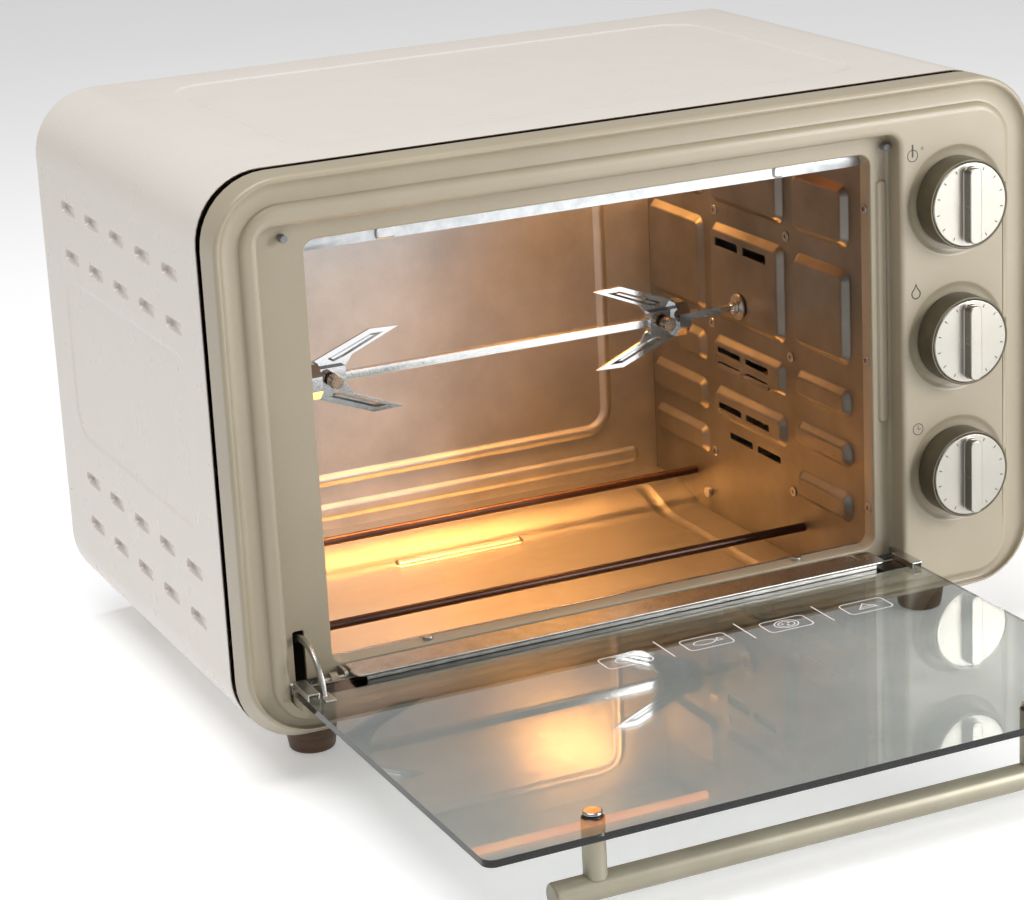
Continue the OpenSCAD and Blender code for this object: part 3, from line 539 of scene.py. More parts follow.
def build_front_frame():
    bm = bmesh.new()
    before = None
    for inset, back in COVE_PROFILE:
        ring = frame_outline(bm, inset, back)
        if before:
            bmesh.ops.bridge_loops(bm, edges=before + ring)
        before = ring
    # the door recess, pressed down from its own outline with a rounded lip
    recess = rounded_face(bm, -229.1, 38.5, 164.4, 311.0, 11.5, 8, -FRONT_Y)
    lip_edges, recess = press(bm, recess, RECESS_STEPS)
    recess_edges = open_loop(bm, recess)
    recess_z = -FRONT_Y - RECESS_DEPTH
    # dished seats round the knob shafts
    seats = []
    for knob in KNOBS:
        low, high = box_mm(knob + "_knob_grip")
        x, z = (low.x + high.x) / 2, (low.z + high.z) / 2
        seat = bmesh.ops.create_circle(bm, cap_ends=True, segments=72, radius=SEAT_R)
        bmesh.ops.translate(bm, vec=(x, z, -FRONT_Y), verts=seat["verts"])
        seat_face = seat["verts"][0].link_faces[0]
        seats.append(press(bm, seat_face, SEAT_STEPS)[0])
    fill_between(bm, [before, lip_edges] + seats)
    # the opening, with a rolled edge and the flange that runs back
    opening = rounded_face(bm, OPEN_X0 - LIP, OPEN_Z0 - LIP, OPEN_X1 + LIP, OPEN_Z1 + LIP, 7.9, 6,
                           recess_z)
    opening_edges, opening = press(bm, opening, LIP_STEPS)
    open_loop(bm, opening)
    # the slot that the door's stay arm slides through
    slot = rounded_face(bm, OPEN_X0 - 22.5, OPEN_Z0 - 13, OPEN_X0 - 15.5, OPEN_Z0 + 23, 1.6, 4,
                        recess_z)
    slot_edges, slot = press(bm, slot, [(0.2, -0.2), (0.0, -2.5)])
    open_loop(bm, slot)
    # a raised rib beside the opening
    rib = rounded_face(bm, OPEN_X1 + 3.0, OPEN_Z0 + 75.5, OPEN_X1 + 11.1, OPEN_Z0 + 221.5, 3.5, 6,
                       recess_z)
    rib_edges, rib = press(bm, rib, RIB_STEPS)
    fill_between(bm, [recess_edges, opening_edges, slot_edges, rib_edges])
    return finish_piece("front_frame", bm, FRONT_VIEW, khaki_paint, "oven",
                        ["front_bezel"], thickness=1.6, outward=(0, -1, 0), angle=38)


build_front_frame()

# %% [markdown]
# ## The cover
# The cover is one sheet wrapped over both sides and the top. The flat fields between its corners are
# filled round their pressed shapes, and the corners are spun from the edges of those fields. The
# louvres are scoops: flush at the front end, deep at the rear end.

# %% Cover with scooped louvres and shallow pressed fields
SHELL_Y0, SHELL_Y1 = shell_low.y, shell_high.y
LOUVRE_ROWS = (17.5, 46.0, 185.5, 215.0)
LOUVRE_Y0, LOUVRE_PITCH = RECESS_Y + 62, 46.3
LOUVRES_IN_ROW = 5
LOUVRE_LONG, LOUVRE_HIGH = 28.0, 7.4
SCOOP_STEPS = [(0.25, -0.5), (0.35, -1.3), (0.6, -1.0), (0.8, -0.5)]
SCOOP_DRAWN, SCOOP_DEPTH, SCOOP_FADE = 3.3, 3.4, 0.8
CORNER_STEPS = 12
LOWER_FLANGE = 6
TOP_SLACK = 0.001
SHEET = 0.8


def made_since(bm, before):
    """The vertices that were made after the set before was taken."""
    return [v for v in bm.verts if v not in before]


def scoop(bm, y, z):
    """One louvre: pressed in, and the depth fades to nothing at its front end."""
    before = set(bm.verts)
    half = LOUVRE_LONG / 2
    face = rounded_face(bm, y - half, z - LOUVRE_HIGH / 2, y + half, z + LOUVRE_HIGH / 2, 3.3, 6)
    border, face = press(bm, face, SCOOP_STEPS)
    rim = {v for e in border for v in e.verts}
    for v in made_since(bm, before):
        if v not in rim:
            share = min(max((v.co.x - y + half) / LOUVRE_LONG, 0), 1)
            v.co.z *= share ** SCOOP_FADE * SCOOP_DEPTH / SCOOP_DRAWN
    return border


def cover_side(bm, matrix):
    before = set(bm.verts)
    panel = rounded_face(bm, SHELL_Y0, BODY_Z0 + CORNER_R, SHELL_Y1, BODY_Z1 - CORNER_R, 0)
    loops = [open_loop(bm, panel)]
    for row in LOUVRE_ROWS:
        for i in range(LOUVRES_IN_ROW):
            loops.append(scoop(bm, LOUVRE_Y0 + LOUVRE_PITCH * i, OPEN_Z0 + row))
    field = rounded_face(bm, RECESS_Y + 44, OPEN_Z0 + 70, RECESS_Y + 270, OPEN_Z0 + 172, 20, 8)
    loops.append(press(bm, field, [(1.2, -0.1), (1.6, -0.45), (1.2, -0.15)])[0])
    fill_between(bm, loops)
    bmesh.ops.transform(bm, matrix=matrix, verts=made_since(bm, before))


def build_cover():
    bm = bmesh.new()
    cover_side(bm, right_wall_view(-BODY_X))
    cover_side(bm, left_wall_view(BODY_X))
    reach = BODY_X - CORNER_R
    top = rounded_face(bm, -reach, SHELL_Y0, reach, SHELL_Y1, 0, z=BODY_Z1)
    loops = [open_loop(bm, top)]
    field = rounded_face(bm, -179, RECESS_Y + 49, 179, RECESS_Y + 272, 26, 8, BODY_Z1)
    loops.append(press(bm, field, [(1.2, -0.1), (1.6, -0.4), (1.2, -0.1)])[0])
    fill_between(bm, loops)
    for side in (-1, 1):
        for level, quarter in ((BODY_Z1 - CORNER_R, 1), (BODY_Z0 + CORNER_R, -1)):
            near = bm.verts.new((side * BODY_X, SHELL_Y0, level))
            far = bm.verts.new((side * BODY_X, SHELL_Y1, level))
            edge = bm.edges.new((near, far))
            turned = bmesh.ops.spin(bm, geom=[edge], cent=(side * reach, 0, level), axis=(0, 1, 0),
                                    angle=-math.radians(90) * side * quarter,
                                    steps=CORNER_STEPS)
            if quarter < 0:
                last = [g for g in turned["geom_last"] if isinstance(g, bmesh.types.BMEdge)]
                flange = bmesh.ops.extrude_edge_only(bm, edges=last)
                corner = [g for g in flange["geom"] if isinstance(g, bmesh.types.BMVert)]
                bmesh.ops.translate(bm, vec=(-side * LOWER_FLANGE, 0, 0), verts=corner)
    # spinning leaves a rounding error of a fraction of a micrometre above the top
    for v in bm.verts:
        v.co.z = min(v.co.z, BODY_Z1 - TOP_SLACK)
    return finish_piece("wrapped_cover", bm, Matrix.Identity(4), cream_enamel, "oven",
                        ["outer_shell"], thickness=SHEET, outward=(0, 0, 1), angle=38)


build_cover()

# %% [markdown]
# ## Cavity walls
# Both side walls are pressed with pads that guide the racks. Each pad is an outline drawn inwards
# with a rounded shoulder. On the right wall the middle pads also have air slots cut through them.

# %% Side walls of the cavity
CAV_X0, CAV_X1 = floor_low.x, floor_high.x
CAV_Y0 = RECESS_Y + 11
BACK_Y = floor_high.y
PAD_STEPS = [(0.5, 0.12), (0.6, 0.45), (1.6, 1.65), (0.9, 0.95), (0.6, 0.5), (0.6, 0.25), (0.6, 0.08)]
PAD_HEIGHT = sum(step[1] for step in PAD_STEPS)
# the pads stand in three columns; the rows are (lowest, highest), and a rear pad adds its own end
FRONT_PAD_Y, MIDDLE_PAD_Y, REAR_PAD_Y0 = (25.5, 87), (101, 189), 201
REAR_ROWS = [(4.5, 23, 272), (34, 54.5, 272), (66.5, 87, 236), (101, 162, 272), (176, 213, 272)]
MIDDLE_ROWS = [(34, 54.5), (66.5, 88.5), (101, 162), (176, 213)]
FRONT_ROWS = [(7, 25), (41, 57), (71.5, 89.5), (105, 162), (176, 213)]
# each air slot is (middle in Y, middle in Z, height)
AIR_SLOTS = [(166.5, 151, 6), (131.5, 151, 6), (166.5, 80, 4.4), (131.5, 80, 4.4),
             (166.5, 70.7, 4.4), (131.5, 70.7, 4.4), (167, 43, 5), (132, 43, 5)]
LOW_SLOTS = [(160, 23.5, 5), (125, 23.5, 5)]
SLOT_LONG = 29.0
SPIT_HOLE_R = 6.0


def air_slot(bm, slot, level):
    y, z, high = slot
    face = rounded_face(bm, RECESS_Y + y - SLOT_LONG / 2, OPEN_Z0 + z - high / 2,
                        RECESS_Y + y + SLOT_LONG / 2, OPEN_Z0 + z + high / 2, 1.5, 4, level)
    border, face = press(bm, face, [(0.25, -0.3), (0.0, -1.4)])
    open_loop(bm, face)
    return border


def rack_pad(bm, y0, y1, z0, z1, slots):
    face = rounded_face(bm, RECESS_Y + y0 - 0.8, OPEN_Z0 + z0 - 0.8, RECESS_Y + y1 + 0.8,
                        OPEN_Z0 + z1 + 0.8, 7.5, 7)
    border, face = press(bm, face, PAD_STEPS)
    inside = [s for s in slots if y0 < s[0] < y1 and z0 < s[1] < z1]
    if inside:
        rims = [open_loop(bm, face)] + [air_slot(bm, s, PAD_HEIGHT) for s in inside]
        if RECESS_Y + y0 < SPIT_Y < RECESS_Y + y1 and OPEN_Z0 + z0 < SPIT_Z < OPEN_Z0 + z1:
            hole = bmesh.ops.create_circle(bm, cap_ends=True, segments=40, radius=SPIT_HOLE_R)
            bmesh.ops.translate(bm, vec=(SPIT_Y, SPIT_Z, PAD_HEIGHT), verts=hole["verts"])
            hole_face = hole["verts"][0].link_faces[0]
            hole_edges, hole_face = press(bm, hole_face, [(0.0, -1.5)])
            rims.append(hole_edges)
            open_loop(bm, hole_face)
        fill_between(bm, rims)
    return border


def pressed_wall(name, matrix, node, outward, slots, low_slots):
    bm = bmesh.new()
    sheet = rounded_face(bm, CAV_Y0, wall_low.z, BACK_Y, wall_high.z, 0)
    loops = [open_loop(bm, sheet)]
    for z0, z1, y1 in REAR_ROWS:
        loops.append(rack_pad(bm, REAR_PAD_Y0, y1, z0, z1, slots))
    for z0, z1 in MIDDLE_ROWS:
        loops.append(rack_pad(bm, *MIDDLE_PAD_Y, z0, z1, slots))
    for z0, z1 in FRONT_ROWS:
        loops.append(rack_pad(bm, *FRONT_PAD_Y, z0, z1, slots))
    loops += [air_slot(bm, s, 0.0) for s in low_slots]
    fill_between(bm, loops)
    return finish_piece(name, bm, matrix, aluminised, "oven", [node],
                        thickness=SHEET, outward=outward, angle=60)


WALL_FACE_X = wall_high.x - 1
pressed_wall("right_pressed_wall", right_wall_view(WALL_FACE_X), "cavity_right_wall", (-1, 0, 0),
             AIR_SLOTS, LOW_SLOTS)
pressed_wall("left_pressed_wall", left_wall_view(left_wall_low.x + 1), "cavity_left_wall", (1, 0, 0),
             [], [])

# %% [markdown]
# ## Back wall
# The back is one sheet with a ridge pressed round its field and a long bead below. The ridge is an
# outline that is drawn out and in again, so its crest is round on both sides.

# %% Back wall
RIDGE_STEPS = [(1.0, 0.25), (1.6, 1.3), (1.0, 0.55), (1.0, 0.15), (1.0, -0.15), (1.0, -0.55),
               (1.6, -1.3), (1.0, -0.25)]


def build_back_wall():
    bm = bmesh.new()
    sheet = rounded_face(bm, CAV_X0, floor_high.z - 26, CAV_X1, wall_high.z, 0)
    loops = [open_loop(bm, sheet)]
    ridge = rounded_face(bm, CAV_X0 + 24, OPEN_Z0 + 4, CAV_X1 - 32, OPEN_Z1 - 2, 20, 9)
    loops.append(press(bm, ridge, RIDGE_STEPS)[0])
    bead = rounded_face(bm, CAV_X0 + 26, OPEN_Z0 - 19, CAV_X1 - 13, OPEN_Z0 - 7, 5.2, 6)
    loops.append(press(bm, bead, [(0.8, 0.2), (1.2, 1.0), (1.0, 0.6), (1.0, 0.2)])[0])
    fill_between(bm, loops)
    bmesh.ops.translate(bm, vec=(0, 0, -BACK_Y), verts=bm.verts)
    return finish_piece("pressed_back_wall", bm, FRONT_VIEW, back_sheet_painted_light, "oven",
                        ["cavity_back_wall"], thickness=SHEET, outward=(0, -1, 0), angle=60)


build_back_wall()

# %% [markdown]
# ## Cavity floor
# The floor is pressed flat first, then bent up at the back like the real sheet, so its beads follow
# the ramp. Cuts across the sheet give the bend its steps.

# %% Floor: pressed flat, then bent
FLAT_Z = 23.5
RAMP_Y0, RAMP_Y1, RAMP_RISE = RECESS_Y + 208, RECESS_Y + 251, 10.5
RIM_Z = OPEN_Z0 - 1.5
RIM_R = 1.5
FOLD_Y = CAV_Y0 + 1.0
RAMP_CUTS = 12


def ramp_height(y):
    share = min(max((y - RAMP_Y0) / (RAMP_Y1 - RAMP_Y0), 0), 1)
    return RAMP_RISE * share * share * (3 - 2 * share)


def build_floor():
    bm = bmesh.new()
    sheet = rounded_face(bm, CAV_X0, FOLD_Y, CAV_X1, BACK_Y, 0)
    loops = [open_loop(bm, sheet)]
    field = rounded_face(bm, CAV_X0 + 22, RECESS_Y + 40, CAV_X1 - 22, RECESS_Y + 266, 24, 9)
    field_edges, field = press(bm, field, [(1.5, -0.2), (2.2, -0.9), (2.5, -0.3), (2.5, 0.3),
                                           (2.2, 0.9), (1.5, 0.2)])
    loops.append(field_edges)
    rim = open_loop(bm, field)
    bead = rounded_face(bm, OPEN_X0 + 127, RECESS_Y + 213, OPEN_X0 + 216, RECESS_Y + 222, 4.0, 6)
    bead_edges, bead = press(bm, bead, [(0.6, 0.2), (0.9, 1.0), (0.9, 0.5), (0.9, 0.1)])
    fill_between(bm, [rim, bead_edges])
    fill_between(bm, loops)
    for i in range(RAMP_CUTS + 1):
        y = RAMP_Y0 + (RAMP_Y1 - RAMP_Y0) * i / RAMP_CUTS
        geom = bm.verts[:] + bm.edges[:] + bm.faces[:]
        bmesh.ops.bisect_plane(bm, geom=geom, plane_co=(0, y, 0), plane_no=(0, 1, 0))
    for v in bm.verts:
        v.co.z += FLAT_Z + ramp_height(v.co.y)
    # the front edge is folded up to the rim
    front = [e for e in bm.edges if e.is_boundary and max(v.co.y for v in e.verts) < FOLD_Y + 0.1]
    folded = bmesh.ops.extrude_edge_only(bm, edges=front)
    lifted = [g for g in folded["geom"] if isinstance(g, bmesh.types.BMVert)]
    bmesh.ops.translate(bm, vec=(0, 0, RIM_Z - FLAT_Z), verts=lifted)
    return finish_piece("pressed_floor", bm, Matrix.Identity(4), floor_sheet_painted_light, "oven",
                        ["cavity_floor"], thickness=SHEET, outward=(0, 0, 1), angle=60)


build_floor()

# %% [markdown]
# ## Rim and rail
# The floor's front edge is rolled round a bright rod, which is a cylinder laid across the opening.
# The rail above it is a narrow strip with two small raised tabs.

# %% Rolled rim in front of the floor, and the rail above the opening
def build_rim():
    bm = bmesh.new()
    made = bmesh.ops.create_cone(bm, cap_ends=True, segments=20, radius1=RIM_R, radius2=RIM_R,
                                 depth=CAV_X1 - CAV_X0)
    middle = Matrix.Translation(((CAV_X0 + CAV_X1) / 2, CAV_Y0 + RIM_R, RIM_Z))
    turn = middle @ Matrix.Rotation(math.radians(90), 4, "Y")
    bmesh.ops.transform(bm, matrix=turn, verts=made["verts"])
    return finish_piece("floor_rim", bm, Matrix.Identity(4), chrome, "oven")


def build_rail():
    bm = bmesh.new()
    rail = rounded_face(bm, CAV_X0 + 1, OPEN_Z1 - 8.3, CAV_X1 - 2, OPEN_Z1 - 0.4, 0)
    loops = [open_loop(bm, rail)]
    for x0, x1 in ((44.6, 56.7), (287.6, 294.8)):
        tab = rounded_face(bm, OPEN_X0 + x0, OPEN_Z1 - 8.1, OPEN_X0 + x1, OPEN_Z1 - 0.8, 2.2, 4)
        loops.append(press(bm, tab, [(0.4, 0.7), (0.4, 0.6), (0.4, 0.1)])[0])
    fill_between(bm, loops)
    bmesh.ops.translate(bm, vec=(0, 0, -(RECESS_Y + 10.75)), verts=bm.verts)
    return finish_piece("upper_rail", bm, FRONT_VIEW, galvanised, "oven",
                        thickness=0.4, outward=(0, -1, 0), angle=50)


build_rim()
build_rail()

# %% [markdown]
# ## Parts with eased edges
# Real parts have no perfectly sharp edge, and the thin highlights on eased edges are what makes
# metal look like metal. Each measured mesh is copied, its triangles are merged back into flat faces,
# and a Bevel modifier rounds the corners.


# %% Ease the edges of a measured part
SLOT_FLOOR_Y, BLADE_FACE_Y = SPIT_Y - 0.1, SPIT_Y - 0.9
SLOT_SLOPE = 1.2
FLAT_ANGLE = 1.5
MERGE = 0.00001
EASED_SEGMENTS, EASED_ANGLE = 2, 35


def slope_slots(bm):
    """Turns the upright walls of a fork's pressed slots into slopes, as pressing leaves them."""
    floors = [f for f in bm.faces
              if abs(f.normal.y) > 0.99 and abs(f.calc_center_median().y / MM - SLOT_FLOOR_Y) < 0.02]
    for floor in floors:
        bmesh.ops.inset_region(bm, faces=[floor], thickness=SLOT_SLOPE * MM, use_even_offset=True)
        inner = set(floor.verts)
        ring = {v for inner_vert in inner for e in inner_vert.link_edges for v in e.verts} - inner
        for v in ring:
            v.co.y = BLADE_FACE_Y * MM
    bmesh.ops.remove_doubles(bm, verts=bm.verts, dist=2 * MERGE)
    print("sloped slots", len(floors))


def eased(node, width):
    """A copy of a measured part with eased edges, which stands for the part."""
    source = frame["nodes"][node]
    bm = bmesh.new()
    bm.from_mesh(source.data)
    bmesh.ops.remove_doubles(bm, verts=bm.verts, dist=MERGE)
    bmesh.ops.dissolve_limit(bm, angle_limit=math.radians(FLAT_ANGLE), verts=bm.verts, edges=bm.edges)
    fork = node in ("fork_left", "fork_right")
    if fork:
        slope_slots(bm)
    mesh = bpy.data.meshes.new(node + "_eased")
    bm.to_mesh(mesh)
    bm.free()
    mesh.materials.append(source.data.materials[0])
    obj = bpy.data.objects.new(node + "_eased", mesh)
    bpy.context.scene.collection.objects.link(obj)
    bevel = obj.modifiers.new("eased_edges", "BEVEL")
    bevel.width = width * MM
    bevel.segments = EASED_SEGMENTS
    bevel.limit_method = "ANGLE"
    bevel.angle_limit = math.radians(EASED_ANGLE)
    if not fork:
        mesh.shade_smooth()
        obj.modifiers.new("even_shading", "WEIGHTED_NORMAL")
    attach(obj, source["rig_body"])
    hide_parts(node)


EASED = {
    "fork_left": 0.2, "fork_right": 0.2, "spit_shaft": 0.5, "drive_socket": 0.5,
    "fork_left_screw": 0.6, "fork_right_screw": 0.6, "spit_bracket": 0.3, "door_rail": 0.7,
    "hinge_end_plates": 0.5,
    "door_inner_strip": 0.5, "handle_bar": 1.6, "handle_posts": 0.6, "handle_screws": 0.8,
    "hinge_brackets": 0.4, "door_stay": 0.5, "feet": 0.8, "door_bumpers": 0.5, "wall_screws": 0.5,
    "flange_screws": 0.4, "wall_spacers": 1.2, "cord_inlet": 0.8, "back_screws": 0.6,
    "temp_knob_grip": 1.0, "mode_knob_grip": 1.0, "timer_knob_grip": 1.0, "temp_knob_face": 0.8,
    "mode_knob_face": 0.8, "timer_knob_face": 0.8
}
for part, width in EASED.items():
    eased(part, width)
print("eased", len(EASED), "parts")

# %% [markdown]
# ## Hinge springs
# A coil spring closes the door at each end. A small circle is spun round the hinge pin and moved
# along it a little with every step, which winds the wire just as it is wound in a factory.

# %% Coil springs round the hinge pins
HINGE_Y, HINGE_Z = RECESS_Y - 8, OPEN_Z0 - 6
COIL_R, WIRE_R, TURNS = 2.75, 0.62, 11
WIRE_SIDES, STEPS_A_TURN = 10, 18
SPRING_LONG = 16.0


def coil(bm, x0):
    """One spring, wound along X from x0."""
    wire = bmesh.ops.create_circle(bm, cap_ends=True, segments=WIRE_SIDES, radius=WIRE_R)
    place = Matrix.Translation((x0 + WIRE_R, HINGE_Y, HINGE_Z + COIL_R))
    turn = place @ Matrix.Rotation(math.radians(90), 4, "X")
    bmesh.ops.transform(bm, matrix=turn, verts=wire["verts"])
    face = wire["verts"][0].link_faces[0]
    steps = TURNS * STEPS_A_TURN
    slide = (SPRING_LONG - 2 * WIRE_R) / steps
    bmesh.ops.spin(bm, geom=[face], cent=(0, HINGE_Y, HINGE_Z), axis=(1, 0, 0), dvec=(slide, 0, 0),
                   angle=math.tau * TURNS, steps=steps)


def build_springs():
    bm = bmesh.new()
    spring_low, spring_high = box_mm("hinge_springs")
    coil(bm, spring_low.x + 0.2)
    coil(bm, spring_high.x - SPRING_LONG - 0.2)
    return finish_piece("coil_springs", bm, Matrix.Identity(4), spring_steel, "oven",
                        ["hinge_springs"], angle=60)


build_springs()

# %% [markdown]
# ## Printed marks
# The marks are thin prints that stand 0.03 mm proud. Words are left out. Each mark is a flat shape
# that is inset once and opened in the middle, which leaves a line of even width.

# %% Marks printed on the glass and beside the knobs
white_print = grained("white_print", (0.78, 0.78, 0.77), (0.86, 0.86, 0.85), (0.5, 0.6), patch=200.0)
# the dark print is also laid on the screw heads as crosses, where it is painted shade for the recesses
dark_print_and_shade = grained("dark_print_and_shade", (0.05, 0.045, 0.035), (0.08, 0.07, 0.055), (0.5, 0.6), patch=200.0)
PRINT_LIFT, PRINT_THICK = 0.03, 0.02
ICON_ROW_Y = -101.0
ICON_WIDE, ICON_HIGH = 28.5, 17.0
ICON_X = (-53.8, -3.7, 46.8, 98.5)
SEPARATOR_X = (-28.8, 21.8, 72.0)
FLAME_Z = 213.0


def line_round(bm, face, width=0.7):
    """Leaves only a line of one width along the border of a face."""
    open_loop(bm, press(bm, face, [(width, 0.0)])[1])


def round_face(bm, x, y, rx, ry, z, segments=40):
    made = bmesh.ops.create_circle(bm, cap_ends=True, segments=segments, radius=1.0)
    bmesh.ops.scale(bm, vec=(rx, ry, 1), verts=made["verts"])
    bmesh.ops.translate(bm, vec=(x, y, z), verts=made["verts"])
    return made["verts"][0].link_faces[0]


def box_icon(bm, x, z):
    left, low = x - ICON_WIDE / 2, ICON_ROW_Y - ICON_HIGH / 2
    line_round(bm, rounded_face(bm, left, low, left + ICON_WIDE, low + ICON_HIGH, 3.5, 6, z))


def build_glass_print():
    bm = bmesh.new()
    z = glass_high.z + PRINT_LIFT
    for x in ICON_X:
        box_icon(bm, x, z)
    chicken, fish, pizza, cake = ICON_X
    line_round(bm, round_face(bm, chicken, ICON_ROW_Y, 6.5, 4.2, z))
    rounded_face(bm, chicken + 6, ICON_ROW_Y + 1.5, chicken + 10.5, ICON_ROW_Y + 3, 0.7, 4, z)
    line_round(bm, round_face(bm, fish - 1.5, ICON_ROW_Y, 7.0, 3.6, z))
    line_round(bm, round_face(bm, fish + 7.6, ICON_ROW_Y, -2.6, 3.4, z, 3), 0.6)
    for r in (6.0, 4.2):
        line_round(bm, round_face(bm, pizza, ICON_ROW_Y, r * 1.25, r, z))
    for dx, dy in ((-2.2, 0.8), (2.0, 1.2), (0.3, -1.6)):
        round_face(bm, pizza + dx, ICON_ROW_Y + dy, 0.8, 0.8, z, 16)
    line_round(bm, round_face(bm, cake, ICON_ROW_Y - 0.5, 7.5, 5.2, z, 3))
    rounded_face(bm, cake - 3.5, ICON_ROW_Y - 0.9, cake + 5.5, ICON_ROW_Y - 0.2, 0.3, 2, z)
    for x in SEPARATOR_X:
        rounded_face(bm, x - 0.4, ICON_ROW_Y - 10, x + 0.4, ICON_ROW_Y + 16, 0.35, 3, z)
    return finish_piece("glass_print", bm, Matrix.Identity(4), white_print, "door",
                        thickness=PRINT_THICK, outward=(0, 0, 1))


def build_panel_print():
    bm = bmesh.new()
    z = -FRONT_Y + PRINT_LIFT
    line_round(bm, round_face(bm, 169.2, 294.0, 3.6, 3.6, z), 0.5)
    rounded_face(bm, 168.6, 293.0, 169.8, 300.5, 0.5, 3, z)
    line_round(bm, round_face(bm, 175.6, 297.6, 0.9, 0.9, z), 0.35)
    flame = round_face(bm, 170.7, FLAME_Z, 3.2, 3.2, z)
    tip = max(flame.verts, key=lambda v: v.co.y)
    for v in flame.verts:
        near = max(0.0, 1 - abs(v.co.x - tip.co.x) / 2.2)
        if v.co.y > FLAME_Z:
            v.co.y += 3.4 * near * near
    line_round(bm, flame, 0.8)
    line_round(bm, round_face(bm, 171.3, 131.5, 3.6, 3.6, z), 0.5)
    rounded_face(bm, 171.05, 131.3, 171.55, 134.0, 0.2, 2, z)
    rounded_face(bm, 171.1, 131.2, 173.2, 131.7, 0.2, 2, z)
    return finish_piece("panel_print", bm, FRONT_VIEW, dark_print_and_shade, "oven",
                        thickness=PRINT_THICK, outward=(0, -1, 0))


build_glass_print()
build_panel_print()

# %% [markdown]
# ## Ticks on the knobs
# Each knob shows its setting with short marks round its disc. One mark is drawn above the middle and
# then turned into place, so all of them have the same length and distance.

# %% Tick marks round each knob's face
TICK_R0, TICK_R1 = 20.6, 22.6
TICKS, FIRST_TICK, TICK_TURN = 13, 150, 25
KNOB_STANDS = 14.6


def build_ticks(knob):
    """Short marks along the rim of the brushed disc, which turn with the knob."""
    bm = bmesh.new()
    low, high = box_mm(knob + "_knob_face")
    x, z = (low.x + high.x) / 2, (low.z + high.z) / 2
    level = -(FRONT_Y - KNOB_STANDS) + PRINT_LIFT
    for i in range(TICKS):
        before = set(bm.verts)
        rounded_face(bm, -0.3, TICK_R0, 0.3, TICK_R1, 0.2, 2, level)
        turn = Matrix.Rotation(math.radians(FIRST_TICK - TICK_TURN * i), 4, "Z")
        place = Matrix.Translation((x, z, 0)) @ turn
        bmesh.ops.transform(bm, matrix=place, verts=made_since(bm, before))
    return finish_piece(knob + "_knob_ticks", bm, FRONT_VIEW, dark_print_and_shade, knob + "_knob",
                        thickness=PRINT_THICK, outward=(0, -1, 0))


for knob in KNOBS:
    build_ticks(knob)

# %% [markdown]
# ## Screw heads
# Each small screw has a domed head with a cross recess. The cross is two slim dark bars set just
# proud of the head: painted shade that stands for the shadow in the recess, since the recess is too
# small to show depth.

# %% Cross recesses on the screw heads, drawn as painted shade
CROSS_LONG, CROSS_WIDE, CROSS_LEAN = 3.2, 0.75, 20
WALL_HEAD, FLANGE_HEAD = 1.05, 0.95
WALL_SCREWS = ((157.5, 228.5), (68.5, 228.5), (164, 153.5), (65.5, 153.5), (165, 67), (65.5, 67))
FLANGE_SCREW_Z = (262.5, 172.3, 81.8)


def recess_shade_cross(bm, x, y, z):
    """A cross of painted shade, for the shadow in the recess, lying on a head whose face looks along -X.
    """
    for quarter in (0, 90):
        before = set(bm.verts)
        rounded_face(bm, -CROSS_LONG / 2, -CROSS_WIDE / 2, CROSS_LONG / 2, CROSS_WIDE / 2, 0.3, 3)
        turn = Matrix.Rotation(math.radians(quarter + CROSS_LEAN), 4, "Z")
        place = Matrix.Translation((x, y, z)) @ right_wall_view(0) @ turn
        bmesh.ops.transform(bm, matrix=place, verts=made_since(bm, before))


def build_recess_shades():
    bm = bmesh.new()
    for y, z in WALL_SCREWS:
        recess_shade_cross(bm, WALL_FACE_X - WALL_HEAD, y, z)
    for z in FLANGE_SCREW_Z:
        recess_shade_cross(bm, OPEN_X1 - FLANGE_HEAD, RECESS_Y + 6.5, z)
    return finish_piece("screw_recess_shades", bm, Matrix.Identity(4), dark_print_and_shade, "oven",
                        thickness=PRINT_THICK)


build_recess_shades()

# %% [markdown]
# ## Studio light
# A pale room: a dim dome, a large soft box overhead, and a soft box and a low card in front on the
# right, which draw the highlights on the frame. Two warm lamps in the cavity stand for the light
# that the upper heaters give, and a faint one at the opening lights the back wall.

# %% Floor, world and lights
FLOOR_DROP = 0.0005


def soft_box(name, place, target, size, power, colour=(1, 1, 1)):
    data = bpy.data.lights.new(name, "AREA")
    data.shape = "RECTANGLE"
    data.size, data.size_y = size
    data.energy = power
    data.color = colour
    lamp = bpy.data.objects.new(name, data)
    bpy.context.scene.collection.objects.link(lamp)
    lamp.location = place
    aim = Vector(target) - Vector(place)
    lamp.rotation_euler = aim.to_track_quat("-Z", "Y").to_euler()
    return lamp


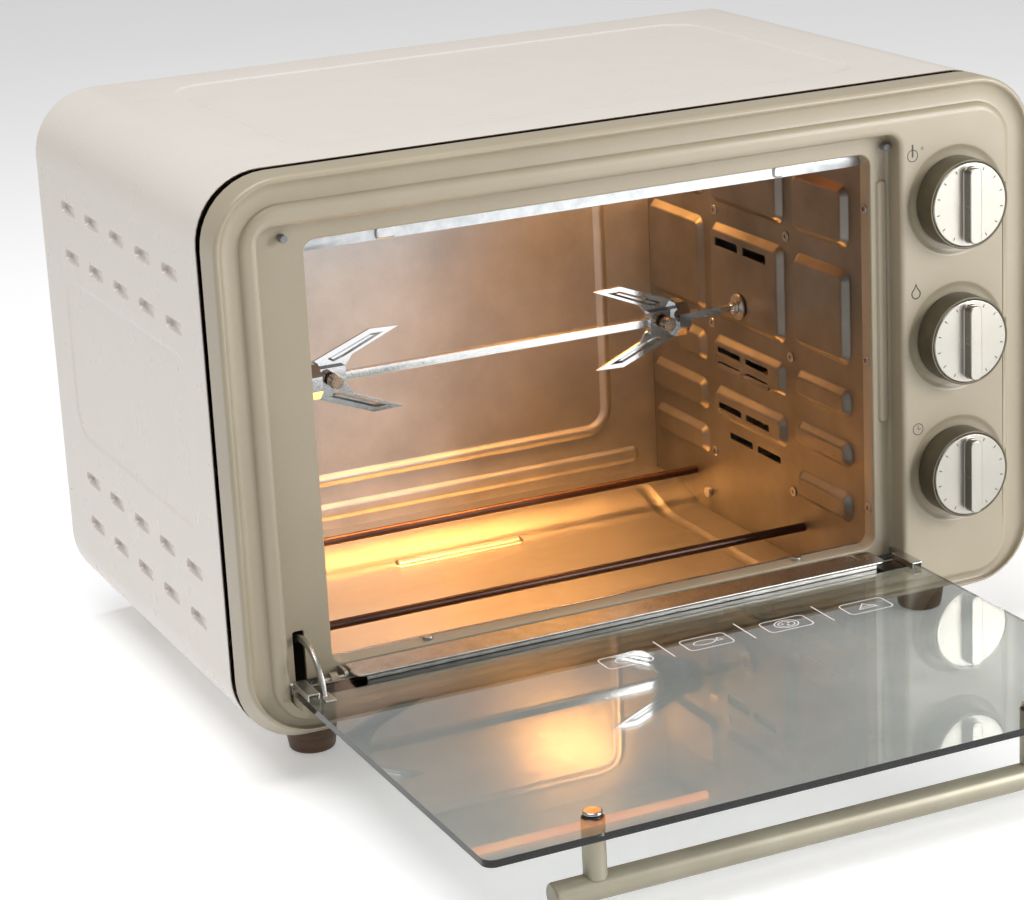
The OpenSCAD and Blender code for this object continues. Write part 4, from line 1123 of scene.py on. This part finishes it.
def pale_floor():
    bm = bmesh.new()
    bmesh.ops.create_grid(bm, x_segments=1, y_segments=1, size=6)
    mesh = bpy.data.meshes.new("studio_floor")
    bm.to_mesh(mesh)
    bm.free()
    made = grained("floor_paper", (0.86, 0.86, 0.86), (0.9, 0.9, 0.9), (0.6, 0.7), patch=2.0)
    shader = made.node_tree.nodes["Principled BSDF"]
    shader.inputs["Emission Color"].default_value = (1, 1, 1, 1)
    shader.inputs["Emission Strength"].default_value = 0.3
    mesh.materials.append(made)
    floor = bpy.data.objects.new("studio_floor", mesh)
    bpy.context.scene.collection.objects.link(floor)
    floor.location.z = -FLOOR_DROP


pale_floor()


def studio_dome(light, seen):
    """An even dome; the camera sees a brighter white than the dome gives as light."""
    world = bpy.data.worlds.new("studio_dome")
    bpy.context.scene.world = world
    world.use_nodes = True
    tree = world.node_tree
    path = tree.nodes.new("ShaderNodeLightPath")
    level = tree.nodes.new("ShaderNodeMapRange")
    level.inputs["To Min"].default_value = light
    level.inputs["To Max"].default_value = seen
    tree.links.new(path.outputs["Is Camera Ray"], level.inputs["Value"])
    tree.links.new(level.outputs["Result"], tree.nodes["Background"].inputs["Strength"])
    tree.nodes["Background"].inputs["Color"].default_value = (1, 1, 1, 1)


studio_dome(0.3, 1.0)
WARM = (1.0, 0.44, 0.12)
soft_box("key_box", (-0.5, 0.0, 2.0), (0, 0, 0.2), (1.4, 1.4), 34)
card = soft_box("right_card", (1.0, -1.1, 0.25), (0.18, 0, 0.2), (1.1, 0.5), 5)
card.visible_diffuse = False
soft_box("front_box", (1.1, -1.2, 0.7), (0.2, 0, 0.2), (0.7, 0.7), 20)
soft_box("opening_fill", (-0.12, -0.012, 0.278), (-0.15, 0.2485, 0.14), (0.14, 0.02), 0.05)
glow = soft_box("heater_glow", (-0.01, 0.19, 0.288), (-0.01, 0.18, 0.0), (0.2, 0.03), 0.75, WARM)
glow.data.spread = math.radians(80)
soft_box("corner_glow", (0.10, 0.19, 0.287), (0.08, 0.25, 0.2), (0.06, 0.05), 0.3, WARM)
bpy.context.scene.view_settings.view_transform = "Standard"
